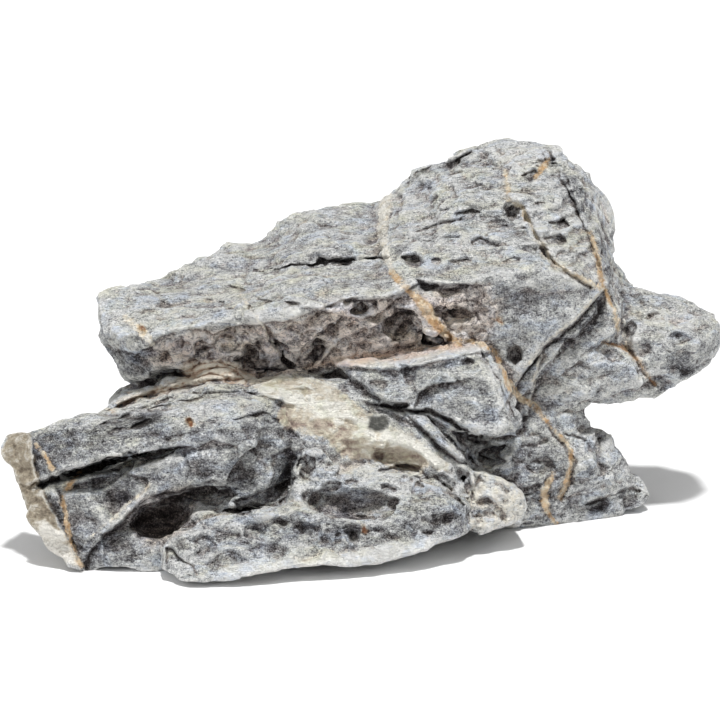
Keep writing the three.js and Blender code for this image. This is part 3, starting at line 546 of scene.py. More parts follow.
def big_relief(drawing, normals):
    """Breaks and folds of 8 mm and more, in millimetres along the normal."""
    mm = drawing.mm
    bent = swayed(mm, reach=2.5, size=12, seeds=(41, 42, 43))
    top = smooth(0.3, 0.7, normals[:, 2])
    still = 1 - zones(drawing, CALM)
    rise = 2.0 * shards(bent / (30, 19, 16), seed=7, bevel=0.08) * (0.4 + 0.6 * still)
    rise += 2.2 * (ridged(mm / (30, 21, 16), 2, seed=61) - 0.55) * (0.4 + 0.6 * still)
    rise += 1.0 * layered(mm / (12, 8, 6.5), 2, seed=62)
    flaky = 0.35 + 0.65 * zones(drawing, {"flaky": 1.0})
    rise += top * flaky * 2.0 * bedding(mm)[0]
    u, v, deep = drawing.u, drawing.v, drawing.deep
    flutes = ridged(np.stack([u / 17 + v / 40, v / 42, deep / 12], 1), 3, seed=23)
    rise += 3.4 * (flutes - 0.6) * zones(drawing, {"under": 1.0})
    beds = ridged(mm / (26, 9, 3.4), 3, seed=25)
    rise += 3.4 * (beds - 0.6) * zones(drawing, {"beds": 1.0})
    folds = ridged(np.stack([u / 26, v / 9 + u / 60, deep / 14], 1), 3, seed=27)
    rise += 3.2 * (folds - 0.55) * zones(drawing, {"brown beds": 1.0})
    return rise


def scallops(drawing):
    """Hollows that meet in sharp crests, laid out in the front view: large ones and small ones."""
    place = swayed(drawing.steady, reach=np.array([9, 7, 0]), size=30, seeds=(51, 52, 53))
    large = bowls(place / (22, 14, 1), seed=15, tilt=0.8, lift=0.35)
    small = bowls(place / (10, 7, 1), seed=16, tilt=0.8, lift=0.35)
    return np.clip(large, -0.4, 1.2), np.clip(small, -0.4, 1.2)


def carve(drawing):
    """How far each point moves away from the eye, in millimetres."""
    total = np.zeros(len(drawing.mm))
    ragged = 0.28 * layered(drawing.mm / 4.0, 3, seed=91, gain=0.6)
    for u0, v0, half_u, half_v, depth, turn, lean in HOLLOWS:
        along, athwart = drawing.oval((u0, v0), (half_u, half_v), turn)
        near = np.flatnonzero(np.maximum(np.abs(along), np.abs(athwart)) < 1.4)
        along, athwart = along[near], athwart[near]
        wall = 1 - smooth(0.2, 1.1, along ** 2 + athwart ** 2 + ragged[near])
        total[near] += depth * wall * (1 - 0.6 * lean * athwart)
    for depth, line in CRACKS:
        total += depth * (1 - smooth(-1.0, 1.4, drawing.beside(line)))
    for depth, reach, line in LEDGES:
        away = drawing.right_of(line)
        total += depth * smooth(-0.6, 1.2, away) * (1 - np.clip(away / reach, 0, 1)) ** 1.2
    for outline, (u0, v0, d0), (u1, v1, d1) in CUTS:
        du, dv = u1 - u0, v1 - v0
        along = ((drawing.u - u0) * du + (drawing.v - v0) * dv) / (du ** 2 + dv ** 2)
        total += drawing.zone(outline, soft=1.3) * (d0 + np.clip(along, 0, 1) * (d1 - d0))
    large, small = scallops(drawing)
    total += 3.6 * (0.5 - large) * drawing.zone(ZONES["crust"])
    total += 1.3 * (0.45 - small) * zones(drawing, {"crust": 0.7, "lobes": 0.8, "calcite": 0.5})
    return total * drawing.shown


def middle_relief(drawing, normals):
    """Chips and scallops of 3 to 8 mm, in millimetres along the normal."""
    mm = drawing.mm
    bent = swayed(mm, reach=1.4, size=5, seeds=(44, 45, 46))
    top = smooth(0.25, 0.65, normals[:, 2])
    still = 1 - zones(drawing, CALM)
    rough = zones(drawing, ROUGH)
    flaky = 0.4 + 0.6 * zones(drawing, {"flaky": 1.0})
    rise = top * flaky * 0.9 * bedding(mm)[0]
    rise += 0.95 * shards(bent / (9, 6, 5), seed=8, bevel=0.12) * (0.3 + 0.7 * still)
    rise += 0.8 * (ridged(mm / (11, 7, 6), 2, seed=81) - 0.55) * (0.3 + 0.7 * still)
    rise += (0.25 + 0.35 * still) * layered(mm / (5.2, 3.8, 3.2), 2, seed=71, gain=0.7)
    rise *= patches(mm)
    rise += 1.1 * shards(bent / (7, 6, 5), seed=18, bevel=0.1) * zones(drawing, {"under": 1.0, "slope": 0.6})
    rise += 1.0 * rough * (bowls(bent / 8.5, seed=3) - 0.35)
    rise += 0.8 * rough * (bowls(bent / 4.4, seed=4) - 0.35)
    return rise


def small_relief(drawing, normals):
    """Flakes and grit under 3 mm, in millimetres along the normal."""
    mm = drawing.mm
    top = smooth(0.25, 0.65, normals[:, 2])
    still = 1 - zones(drawing, CALM)
    flaky = 0.4 + 0.6 * zones(drawing, {"flaky": 1.0})
    rise = top * flaky * 0.7 * bedding(mm)[1]
    rise += 0.3 * shards(mm / (4.0, 3.0, 2.6), seed=9, bevel=0.15) * (0.2 + 0.8 * still)
    rise += 0.2 * layered(mm / (2.6, 2.1, 1.9), 2, seed=73, gain=0.7) * (0.4 + 0.6 * still)
    return rise * patches(mm)


# ---------------------------------------------------------------- the carved mesh

def count_triangles(mesh):
    return sum(len(polygon.vertices) - 2 for polygon in mesh.polygons)


def facet(stone, count):
    """Breaks the surface into about count flat facets."""
    ratio = count / count_triangles(stone.data)
    with_modifier(stone, "DECIMATE", ratio=ratio, use_collapse_triangulate=True)


def push(stone, relief, rounds, sight=False):
    """Moves the surface along its evened normals, or away from the eye, and keeps the base flat."""
    mesh = stone.data
    points = read_points(mesh)
    base = points[:, 2] < BASE_SLACK
    normals = read_normals(mesh, read_edges(mesh), rounds)
    if sight:
        ways = points - eye_place()
        ways /= np.linalg.norm(ways, axis=1)[:, None]
        rise = relief(Drawing(points))
    else:
        ways = normals
        rise = relief(Drawing(points), normals)
    points = points + ways * (rise * ~base)[:, None] * MM
    points[:, 2] = np.maximum(points[:, 2], 0)
    points[base, 2] = 0
    write_points(mesh, points)


def build_surface():
    """The stone's fine mesh, carved."""
    stone = bpy.data.objects.new("seiryu_stone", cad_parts["stone"].data.copy())
    bpy.context.scene.collection.objects.link(stone)
    with_modifier(stone, "REMESH", mode="VOXEL", voxel_size=FIRST_VOXEL)
    push(stone, big_relief, rounds=12)
    facet(stone, BROAD_FACETS)
    with_modifier(stone, "REMESH", mode="VOXEL", voxel_size=FINE_VOXEL)
    push(stone, carve, rounds=2, sight=True)
    push(stone, middle_relief, rounds=6)
    facet(stone, NARROW_FACETS)
    with_modifier(stone, "SUBSURF", subdivision_type="SIMPLE", levels=1)
    push(stone, small_relief, rounds=3)
    thin_out(stone)
    return stone


def thin_out(stone):
    """Brings the mesh under MOST_TRIANGLES, and keeps more of them where the front shows."""
    mesh = stone.data
    triangles = count_triangles(mesh)
    shown = Drawing(read_points(mesh)).shown
    spare = stone.vertex_groups.new(name="spare")
    shades, just_under = 5, 4.999
    for shade in range(shades):
        members = np.flatnonzero((shown * just_under).astype(int) == shade)
        spare.add(members.tolist(), 1 - 0.2 * shade, "REPLACE")
    ratio = min(1.0, MOST_TRIANGLES / triangles)
    with_modifier(stone, "DECIMATE", ratio=ratio, use_collapse_triangulate=True, vertex_group="spare",
                  vertex_group_factor=1.0)
    stone.vertex_groups.clear()
    drop_specks(stone.data)
    points = read_points(stone.data)
    points[:, 2] = np.maximum(points[:, 2], 0)
    write_points(stone.data, points)


def drop_specks(mesh):
    """Deletes what isn't connected to the largest piece of the mesh."""
    first, second = read_edges(mesh).T
    piece = np.arange(len(mesh.vertices))
    known = None
    while known is None or (piece != known).any():
        known = piece.copy()
        np.minimum.at(piece, first, known[second])
        np.minimum.at(piece, second, known[first])
        piece = piece[piece]
    specks = np.flatnonzero(piece != np.bincount(piece).argmax())
    shape = bmesh.new()
    shape.from_mesh(mesh)
    shape.verts.ensure_lookup_table()
    bmesh.ops.delete(shape, geom=[shape.verts[k] for k in specks], context="VERTS")
    shape.to_mesh(mesh)
    shape.free()


# ---------------------------------------------------------------- paint

# Veins: how rusty from 0 to 1, and a line of (u, v, half width).
VEINS = [
    (0.0, path("386,196,5 384,215,5.5 382,232,5 384,246,3.6 388,262,3 392,272,2.6")),
    (0.5, path("392,272,2.6 400,283,2.6 415,295,2.8 422,303,4.4 432,318,5.4 445,333,3.6 458,343,2.6")),
    (0.45, path("458,339,1.2 470,341,1.4 485,344,1.6 497,355,1.8 505,375,2.2 512,388,3 520,398,3 535,406,3 "
                "541,415,2 555,430,1.6 568,445,1.8 572,462,2.2 568,478,2.2 560,497,2")),
    (0.5, path("553,475,2.4 545,490,3 545,500,3.4 548,515,2 560,527,1.6")),
    (0.35, path("505,172,1 507,185,1.6 508,200,1.8")),
    (0.2, path("512,203,1.6 520,206,2 528,220,1.4 535,235,1.4 542,245,1.6 550,260,1.8 565,270,1.8 "
               "585,280,2.2 602,290,2.4")),
    (0.6, path("548,160,1.6 542,168,1.8 535,178,1.4")),
    (0.5, path("590,232,0.8 594,245,2 598,258,2.4 600,275,1.8 604,290,2 612,305,1.4 617,320,1.2 618,330,1")),
    (0.1, path("125,317,2 135,324,3 148,338,3.4 152,344,1.5")),
    (1.0, path("136,325,2.4 142,329,2.6")),
    (0.45, path("36,443,1 44,455,1.6 53,468,1.6")),
    (0.5, path("62,497,1.6 66,515,2 70,540,1.8 76,556,1.4 82,566,1.6")),
    (0.6, path("66,490,1.4 75,478,1.6 82,470,1")),
    (0.0, path("240,293,0.3 262,325,0.5 278,355,0.4")),
    (0.0, path("625,320,0.3 624,338,0.6 628,355,0.4")),
    (0.0, path("541,355,0.3 536,372,0.7 530,400,0.3")),
    (0.0, path("516,380,0.2 528,365,0.5 544,345,0.6 558,333,0.5 580,315,0.6 600,292,0.8")),
    (0.05, path("151,480,0.6 146,490,1.0 128,503,0.8 112,520,0.8 92,536,0.4")),
    (0.8, path("602,342,0.4 620,346,0.7 636,358,0.7 656,386,0.6")),
    (1.0, path("189,420,2 191,423,2")),
    (1.0, path("364,528,2 366,531,2")),
    (1.0, path("499,319,1.5 501,322,1.5")),
]

# How light each place is beside the rest, -1 to 1. The cave's darkening is painted shade, and the strip's
# lightening is painted light that makes up for the shade it lies in near the floor.
TONES = {
    "under": 0.03, "flaky": 0.04, "peak face": -0.04, "mid face": -0.16, "left top": -0.33,
    "left face": -0.19, "strip": 0.62, "lobes": 0.26, "core": -0.08, "cave": -0.34, "crust": 0.02,
    "rim": 0.08, "block": -0.12, "side shade": -0.2, "side light": 0.15, "slope": 0.10,
    "block top": 0.44, "block edge": 0.24, "right slab": -0.22, "table": 0.10,
}

# Patches of another shade: how much lighter, and a closed outline. The dark ones in pits, recesses, cuts and
# cracks, under the upper slab's rim and under the peak's diagonal crest are painted shade.
PATCHES = [
    # painted shadow below the peak's diagonal crest
    (-0.34, path("601,294 603,310 597,322 590,332 572,341 556,346 545,349 552,342 566,331 580,318 592,304")),
    (-0.18, path("538,354 528,366 518,380 516,390 526,392 534,376 540,360")),
    (-0.10, path("346,301 378,298 380,312 368,318 356,316")),
    (-0.10, path("386,308 402,306 412,314 420,334 414,344 404,336 398,344 386,336 383,322")),
    (-0.10, path("446,312 462,308 480,310 482,320 472,328 458,324")),
    (-0.14, path("236,356 250,356 262,354 268,364 272,372 256,372")),
    (-0.10, path("250,341 260,340 264,352 252,352")),
    (-0.14, path("278,344 284,350 292,358 298,368 290,365 283,358")),
    (-0.14, path("306,342 312,340 324,344 322,352 312,362 306,358")),
    (-0.16, path("456,360 466,357 480,358 480,366 470,370 460,368")),
    (-0.14, path("414,398 422,391 434,385 452,382 448,388 436,394 426,402")),
    (-0.22, path("583,502 596,498 610,500 606,512 590,518")),
    (-0.22, path("615,494 630,488 642,494 640,506 624,512")),
    (-0.28, path("675,366 690,364 694,374 680,380")),
    (0.09, path("540,350 600,345 640,360 660,395 600,400 545,395")),
    (-0.08, path("640,330 700,330 716,340 700,370 660,372 640,350")),
    (0.20, path("650,312 672,308 700,314 698,328 676,330 656,326")),
    (-0.20, path("108,348 118,350 136,352 148,358 154,372 142,376 124,374 112,362")),
    (0.18, path("110,322 126,326 140,344 136,352 116,348 108,336")),
    (0.08, path("156,330 176,322 210,322 206,334 180,340 162,344")),
    (-0.30, path("132,424 142,414 156,410 164,412 158,420 146,428 136,430")),
    (0.16, path("162,416 186,414 206,418 196,430 180,442 166,438")),
    (-0.06, path("274,430 290,428 304,440 308,450 296,452 282,446")),
    (-0.16, path("272,470 280,458 296,454 298,466 290,484 276,494 266,494")),
    (-0.16, path("494,222 500,210 512,206 524,208 522,218 512,226 502,226")),
    (-0.20, path("456,218 462,212 476,209 486,211 480,218 468,221")),
    (-0.16, path("472,246 482,240 490,244 504,246 502,251 484,251")),
    (-0.16, path("406,254 416,251 424,258 424,268 414,268 408,262")),
    (-0.26, path("390,247 400,244 411,248 408,256 396,255")),
    (-0.30, path("552,224 558,219 568,220 568,227 558,229")),
    (-0.26, path("552,238 560,234 572,236 568,244 556,244")),
    (-0.30, path("520,180 526,174 536,171 536,178 528,184")),
    (-0.30, path("434,166 446,160 466,156 470,160 458,167 442,171")),
    (-0.22, path("408,184 416,174 434,168 436,173 420,182")),
    (-0.30, path("545,163 552,160 560,164 556,169 548,168")),
    (-0.14, path("416,283 426,282 436,286 432,292 420,292")),
    (-0.16, path("603,269 608,266 613,274 611,281 605,280")),
    (-0.26, path("571,270 582,272 591,278 586,281 576,277")),
    (-0.22, path("430,236 444,232 470,226 466,232 446,240 434,242")),
    (-0.20, path("506,234 520,228 530,234 524,242 510,240")),
    (0.28, path("594,198 602,197 609,207 608,221 600,216 595,208")),
    (0.16, path("490,152 530,146 556,150 552,160 536,160 510,164 496,162")),
    (-0.20, path("242,406 262,402 284,406 286,420 268,424 246,420")),
    (-0.26, path("48,494 56,500 66,520 69,542 60,530 52,514")),
    (0.16, path("150,478 150,486 138,500 126,514 112,530 100,538 104,528 122,508 136,492")),
    (0.24, path("302,500 292,496 282,503 272,516 280,510 292,503 304,512 310,514")),
    (0.22, path("330,464 350,462 376,466 366,472 340,474")),
    (-0.16, path("480,500 488,496 491,504 486,511 480,508")),
    (-0.16, path("464,482 470,478 474,490 475,501 469,499")),
    (0.30, path("426,456 440,454 450,460 450,470 440,470 430,464")),
]


# A dark lump in the calcite, and the calcite's brightest line.
INCLUSION = path("367,416 376,416 386,415 389,423 384,430 377,432 369,428 370,422")
BRIGHT_LINE = path("262,392 300,403 335,413 365,427 400,438 440,460")
# Distances beyond these, in steps of PIXEL, read as far from a vein and from a border.
FAR_FROM_VEIN = 12.0
FAR_FROM_BORDER = 12


def paint(stone):
    """Writes what the material reads at each point of the mesh."""
    mesh = stone.data
    points = read_points(mesh)
    edges = read_edges(mesh)
    normals = read_normals(mesh, edges, rounds=3)
    # How far each point stands out from its neighbours, near and broad, and how far it faces up. The material
    # lightens ridges and tops and darkens hollows by these: painted highlight and painted shade, partly over
    # the stone's own weathering. The crust's hollows get less of it.
    smoothed = relaxed(points, edges, rounds=6)
    store(mesh, "edge", np.einsum("ij,ij->i", points - smoothed, normals) / MM)
    smoothed = relaxed(smoothed, edges, rounds=60)
    drawing = Drawing(points)
    proud = np.einsum("ij,ij->i", points - smoothed, normals) / MM
    store(mesh, "proud", proud * (1 - 0.6 * drawing.zone(ZONES["crust"])))
    store(mesh, "up", relaxed(normals, edges, rounds=6)[:, 2])

    vein, rust = np.full(len(points), FAR_FROM_VEIN), np.zeros(len(points))
    for rusty, line in VEINS:
        away = drawing.beside(line)
        rust = np.where(away < vein, rusty, rust)
        vein = np.minimum(vein, away)
    store(mesh, "vein", vein)
    store(mesh, "rust", relaxed(rust[:, None], edges, rounds=2)[:, 0])
    # The tone: the zones' own lighter and darker stone, with painted shade in the cave and in the dark
    # patches, and painted light on the strip near the floor.
    shades = sum(shade * drawing.zone(outline, soft=2.0) for shade, outline in PATCHES)
    store(mesh, "tone", zones(drawing, TONES) + shades * drawing.shown)
    # Lighter on the crests of the carved scallops and darker in their hollows: painted highlight and painted
    # shade.
    large, small = scallops(drawing)
    crests = 0.35 * (large - 0.45) * drawing.zone(ZONES["crust"])
    crests += 0.25 * (small - 0.45) * zones(drawing, {"crust": 0.7, "lobes": 0.8, "calcite": 0.4})
    store(mesh, "crests", crests * drawing.shown)
    store(mesh, "lobes", drawing.zone(ZONES["lobes"]) * drawing.shown)
    store(mesh, "inclusion", drawing.zone(INCLUSION, soft=1.6) * drawing.shown)
    # Browner under the upper slab's rim and in the cave, where shade falls, which is partly painted shade;
    # the brown beds are the stone's own colour.
    brown = np.maximum(0.55 * drawing.zone(ZONES["under"]), drawing.zone(ZONES["brown beds"]))
    bright = drawing.right_of(BRIGHT_LINE)
    store(mesh, "bright", 1 - smooth(2, 12, np.abs(bright)) + 0.35 * (bright < 0))
    store(mesh, "brown", np.maximum(brown, 0.5 * drawing.zone(ZONES["cave"])) * drawing.shown)
    store(mesh, "pale", drawing.zone(ZONES["left low"], soft=6.0) * drawing.shown)
    for name in ("calcite", "left end", "ochre"):
        away = np.clip(drawing.inside(ZONES[name]), -FAR_FROM_BORDER, FAR_FROM_BORDER)
        store(mesh, name, away - 2 * FAR_FROM_BORDER * (1 - drawing.shown))


# ---------------------------------------------------------------- the material

class Nodes:
    """Short names for the shader nodes that the material uses."""

    def __init__(self, tree):
        self.tree = tree

    def add(self, kind, inputs=(), **settings):
        node = self.tree.nodes.new(kind)
        for key, value in settings.items():
            setattr(node, key, value)
        for key, value in dict(inputs).items():
            if isinstance(value, bpy.types.NodeSocket):
                self.tree.links.new(value, node.inputs[key])
            else:
                node.inputs[key].default_value = value
        return node

    def attribute(self, name):
        """The number that paint() stored for each point."""
        return self.add("ShaderNodeAttribute", attribute_name=name).outputs["Fac"]

    def stretched(self, sizes, turn=(0, 0, 0)):
        """Object coordinates in units of the given sizes, in millimetres."""
        place = self.add("ShaderNodeTexCoord").outputs["Object"]
        scale = tuple(1 / (size * MM) for size in sizes)
        turned = self.add("ShaderNodeMapping", {"Vector": place, "Rotation": turn}).outputs["Vector"]
        return self.add("ShaderNodeMapping", {"Vector": turned, "Scale": scale}).outputs["Vector"]

    def noise(self, sizes, detail=4.0, roughness=0.55, distortion=0.0, turn=(0, 0, 0)):
        """Noise around 0, about -1 to 1."""
        inputs = {"Vector": self.stretched(sizes, turn), "Scale": 1.0, "Detail": detail,
                  "Roughness": roughness, "Distortion": distortion}
        raw = self.add("ShaderNodeTexNoise", inputs).outputs["Fac"]
        return self.spread(raw, 0.25, 0.75, -1, 1, False)

    def vector(self, operation, a, b):
        return self.add("ShaderNodeVectorMath", {0: a, 1: b}, operation=operation)

    def chips(self, sizes):
        """Flat tilted chips with small steps between them: a height in millimetres, and a tone for each."""
        place = self.stretched(sizes)
        sway = self.add("ShaderNodeTexNoise", {"Vector": place, "Scale": 1.4, "Detail": 2.0}).outputs["Color"]
        place = self.vector("ADD", place, sway).outputs["Vector"]
        cell = self.add("ShaderNodeTexVoronoi", {"Vector": place, "Scale": 1.0})
        away = self.vector("SUBTRACT", place, cell.outputs["Position"]).outputs["Vector"]
        lean = self.vector("SUBTRACT", cell.outputs["Color"], (0.5, 0.5, 0.5)).outputs["Vector"]
        height = self.vector("DOT_PRODUCT", away, lean).outputs["Value"]
        tone = self.spread(cell.outputs["Color"], 0, 1, -1, 1)
        return self.math("MULTIPLY", height, 2 * min(sizes)), tone

    def ledges(self, thick, sway, sizes):
        """Thin beds that break off one after another: from -1 at the foot of a step to 1 on its lip."""
        place = self.add("ShaderNodeTexCoord").outputs["Object"]
        across = self.vector("DOT_PRODUCT", place, ACROSS_BEDS).outputs["Value"]
        beds = self.total((across, 1 / (thick * MM)), (self.noise(sizes, 4, 0.62), sway))
        part = self.math("FRACT", beds)
        return self.math("SUBTRACT", self.spread(part, 0, 0.18, -1, 1, kind="SMOOTHSTEP"),
                         self.math("MULTIPLY", part, 2.0))

    def spread(self, value, low, high, to_low=0.0, to_high=1.0, clamp=True, kind="LINEAR"):
        """The value, with low to high drawn out to another range."""
        inputs = {"Value": value, "From Min": low, "From Max": high, "To Min": to_low, "To Max": to_high}
        return self.add("ShaderNodeMapRange", inputs, clamp=clamp, interpolation_type=kind).outputs["Result"]

    def math(self, operation, a, b=0.0, clamp=False):
        node = self.add("ShaderNodeMath", {0: a, 1: b}, operation=operation, use_clamp=clamp)
        return node.outputs["Value"]

    def total(self, *terms):
        """The sum of (value, weight) pairs."""
        result = 0.0
        for value, weight in terms:
            result = self.math("ADD", result, self.math("MULTIPLY", value, weight))
        return result

    def product(self, *values):
        result = values[0]
        for value in values[1:]:
            result = self.math("MULTIPLY", result, value)
        return result

    def crests(self, raw, power):
        """1 where the noise crosses 0, falling off the faster the higher the power."""
        near = self.math("SUBTRACT", 1.0, self.math("ABSOLUTE", raw), clamp=True)
        return self.math("POWER", near, power)

    def ramp(self, value, stops):
        """A colour from a list of (value, colour)."""
        node = self.add("ShaderNodeValToRGB", {"Fac": value})
        for _ in stops[2:]:
            node.color_ramp.elements.new(0.5)
        for element, (place, colour) in zip(node.color_ramp.elements, stops):
            element.position = place
            element.color = (*colour, 1)
        return node.outputs["Color"]

    def mix(self, share, a, b, blend="MIX"):
        factor, first, second, result = 0, 6, 7, 2
        inputs = {factor: share, first: a, second: b if isinstance(b, bpy.types.NodeSocket) else (*b, 1)}
        return self.add("ShaderNodeMix", inputs, data_type="RGBA", blend_type=blend).outputs[result]

    def tinted(self, share, colour, tint):
        """The colour, and where share is 1 the colour times the tint."""
        return self.mix(share, colour, self.mix(1.0, colour, tint, "MULTIPLY"))


# Colours: lists of (value, colour), from 0 to 1.
GREYS = [(0.0, (0.018, 0.016, 0.016)), (0.22, (0.078, 0.076, 0.082)), (0.45, (0.225, 0.226, 0.236)),
         (0.68, (0.43, 0.44, 0.445)), (1.0, (0.80, 0.80, 0.785))]
OCHRES = [(0.0, (0.05, 0.03, 0.02)), (0.4, (0.40, 0.27, 0.20)), (0.7, (0.74, 0.58, 0.44)),
          (1.0, (0.85, 0.78, 0.66))]
TANS = [(0.0, (0.13, 0.10, 0.07)), (0.5, (0.43, 0.37, 0.28)), (1.0, (0.88, 0.85, 0.78))]
CREAMS = [(0.0, (0.10, 0.07, 0.06)), (0.3, (0.40, 0.31, 0.26)), (0.6, (0.68, 0.61, 0.49)),
          (0.95, (0.93, 0.91, 0.83))]
LUMP_GREYS = [(0.0, (0.10, 0.10, 0.09)), (1.0, (0.26, 0.26, 0.23))]
RUSTS = [(0.0, (0.90, 0.87, 0.79)), (0.3, (0.86, 0.75, 0.57)), (0.62, (0.62, 0.40, 0.21)),
         (1.0, (0.24, 0.10, 0.05))]

# Tints that a colour is multiplied by.
OLIVE = (1.01, 0.99, 0.84)
BLUE = (0.90, 0.97, 1.10)
BROWN = (1.08, 0.80, 0.64)
LOBE_CREAM = (1.10, 1.04, 0.93)
CALCITE_GREEN = (0.93, 0.95, 0.88)
VEIN_STAIN = (0.95, 0.72, 0.48)

# The place in GREYS of the stone where nothing lightens or darkens it, its gloss, and how deep the
# height that the material adds is.
PLAIN_LIGHT = 0.56
SPECULAR = 0.35
BUMP_DEPTH = 1.0 * MM


def limestone():
    """Blue-grey limestone: mottled, veined, paler on its edges and brown-black in its hollows, partly from
    its own weathering and stains and partly as painted highlight and painted shade.

    Each noise and chip is sized in millimetres, across, deep and up.
    """
    material = bpy.data.materials.new("limestone")
    material.use_nodes = True
    n = Nodes(material.node_tree)
    up = n.spread(n.attribute("up"), 0.25, 0.65)
    edge = n.spread(n.attribute("edge"), -0.45, 0.45, -1, 1)
    proud = n.spread(n.attribute("proud"), -2.2, 2.2, -1, 1)
    brown_and_shade_zone = n.attribute("brown")
    crests = n.attribute("crests")
    tone = n.attribute("tone")

    def by_slope(steep, flat):
        """One weight on steep faces and another on those that face up."""
        return n.spread(up, 0, 1, steep, flat)

    tilt = (0, math.radians(6), 0)
    chip_a, tone_a = n.chips((5.0, 3.6, 2.8))
    chip_b, tone_b = n.chips((2.3, 1.7, 1.3))
    chip_c, tone_c = n.chips((1.0, 0.8, 0.65))
    mottle = n.noise((9, 7, 6), 6, 0.6, 0.5)
    speckle = n.noise((2.6, 2.2, 1.9), 5, 0.62, 0.3)
    blotch = n.noise((28, 20, 14), 3, 0.5)
    ledge_a = n.product(n.ledges(2.2, 2.6, (15, 7, 7)), up)
    ledge_b = n.product(n.ledges(1.1, 2.2, (8, 4, 4)), up)
    grain = n.noise((0.95, 0.9, 0.85), 3, 0.6)
    grit = n.noise((0.5, 0.46, 0.42), 1, 0.6)
    pits = n.spread(n.noise((1.2, 1.0, 0.8), 3, 0.6), -0.40, -0.70)
    sparks = n.spread(n.noise((1.4, 1.0, 0.7), 3, 0.6), 0.40, 0.70)
    web = n.crests(n.noise((3.0, 2.4, 2.0), 4, 0.6, 0.3), 12.0)
    thread = n.product(n.crests(n.noise((1.7, 1.3, 1.1), 3, 0.6, 0.3), 8.0), n.spread(mottle, -0.5, 0.5))
    streak = n.noise((8, 4, 2.4), 4, 0.68, 0.3, tilt)
    flecks = n.noise((2.0, 1.4, 0.9), 4, 0.65, 0.3, tilt)
    net = n.product(n.crests(n.noise((7, 6, 5), 5, 0.62, 0.4), 7.0),
                    n.spread(n.noise((15, 12, 10), 3), -0.3, 0.5))

    # Ridges, lips and tops lighter and hollows, step feet and pits darker, from edge, proud, up, crests, the
    # ledges, the chip heights and the pits: painted highlight and painted shade, partly over the stone's own
    # pale weathering and dark specks. The tone adds the painted shade and light of the zones and patches.
    light = n.total((mottle, by_slope(0.17, 0.11)), (speckle, by_slope(0.12, 0.10)),
                    (streak, by_slope(0.04, 0.14)), (flecks, by_slope(0.03, 0.12)),
                    (blotch, 0.10), (grain, 0.14), (grit, 0.24), (pits, -0.34), (sparks, 0.26),
                    (ledge_a, 0.06), (ledge_b, 0.07), (crests, 1.0), (n.product(tone_a, brown_and_shade_zone), 0.22),
                    (net, by_slope(0.34, 0.12)), (web, 0.22), (thread, 0.22), (tone_a, 0.04), (tone_b, 0.06),
                    (tone_c, 0.09), (chip_b, 0.10), (chip_c, 0.25), (edge, 0.18), (proud, 0.20), (up, 0.19),
                    (tone, 1.0))
    colour = n.ramp(n.math("ADD", light, PLAIN_LIGHT), GREYS)

    olive = n.product(n.spread(n.noise((14, 9, 7), 5, 0.65, 0.5), -0.2, 0.7), by_slope(0.35, 0.9))
    colour = n.tinted(olive, colour, OLIVE)
    colour = n.tinted(n.spread(n.noise((11, 8, 6), 5, 0.65, 0.5), 0.0, 0.7), colour, BLUE)
    # Browner and darker in the hollows, in the brown beds, under the upper slab's rim and in the cave: partly
    # the stone's brown stains and beds, partly painted shade.
    low = n.math("MULTIPLY", n.math("ADD", edge, proud), -0.8, clamp=True)
    brown = n.math("ADD", n.product(brown_and_shade_zone, n.spread(mottle, -0.6, 0.7, 1.0, 0.35)),
                   n.math("MULTIPLY", low, 0.35), clamp=True)
    colour = n.tinted(brown, colour, BROWN)

    fold = n.noise((13, 9, 1.7), 5, 0.6, 1.2, (0, math.radians(10), 0))
    # The ochre beds are paler on their edges and darker in their hollows: partly the beds' own weathering,
    # partly painted highlight and painted shade.
    ochre = n.ramp(n.total((mottle, 0.15), (fold, 0.32), (edge, 0.45), (speckle, 0.15), (grain, 0.1),
                           (1.0, 0.86)), OCHRES)
    on_ochre = n.spread(n.total((n.attribute("ochre"), 1.0), (n.noise((6, 6, 4), 6, 0.65), 6.0)), -3.0, 4.0)
    colour = n.mix(on_ochre, colour, ochre)

    rough_edge = n.noise((4, 4, 4), 5, 0.65)
    on_lobes = n.product(n.attribute("lobes"), n.spread(rough_edge, -0.6, 0.4))
    colour = n.tinted(on_lobes, colour, LOBE_CREAM)
    # The left end's tan is paler on its edges and darker in its hollows: partly its own weathering, partly
    # painted highlight and painted shade.
    tan = n.ramp(n.total((n.noise((6, 5, 5), 6, 0.65), 0.4), (speckle, 0.15), (grain, 0.14), (edge, 0.4),
                         (n.attribute("pale"), 0.62), (1.0, 0.42)), TANS)
    on_end = n.spread(n.total((n.attribute("left end"), 1.0), (rough_edge, 3.0)), -1.0, 1.5)
    colour = n.mix(on_end, colour, tan)

    fluff = n.noise((5, 4, 4), 5, 0.66, 0.5)
    # The calcite is paler on its edges, ridges and scallop crests and darker in their hollows: partly painted
    # highlight and painted shade; its tone also carries the painted patches.
    cream = n.ramp(n.total((fluff, 0.26), (speckle, 0.12), (grit, 0.06), (edge, 0.26), (proud, 0.06),
                           (n.attribute("bright"), 0.34), (tone, 1.0), (crests, 1.2), (1.0, 0.59)), CREAMS)
    cream = n.tinted(n.spread(n.noise((9, 7, 7), 4, 0.6), 0.0, 0.6), cream, CALCITE_GREEN)
    on_calcite = n.spread(n.total((n.attribute("calcite"), 1.0), (rough_edge, 5.0), (fluff, 3.0)), -1.5, 2.5)
    colour = n.mix(on_calcite, colour, cream)
    colour = n.mix(n.attribute("inclusion"), colour, n.ramp(speckle, LUMP_GREYS))

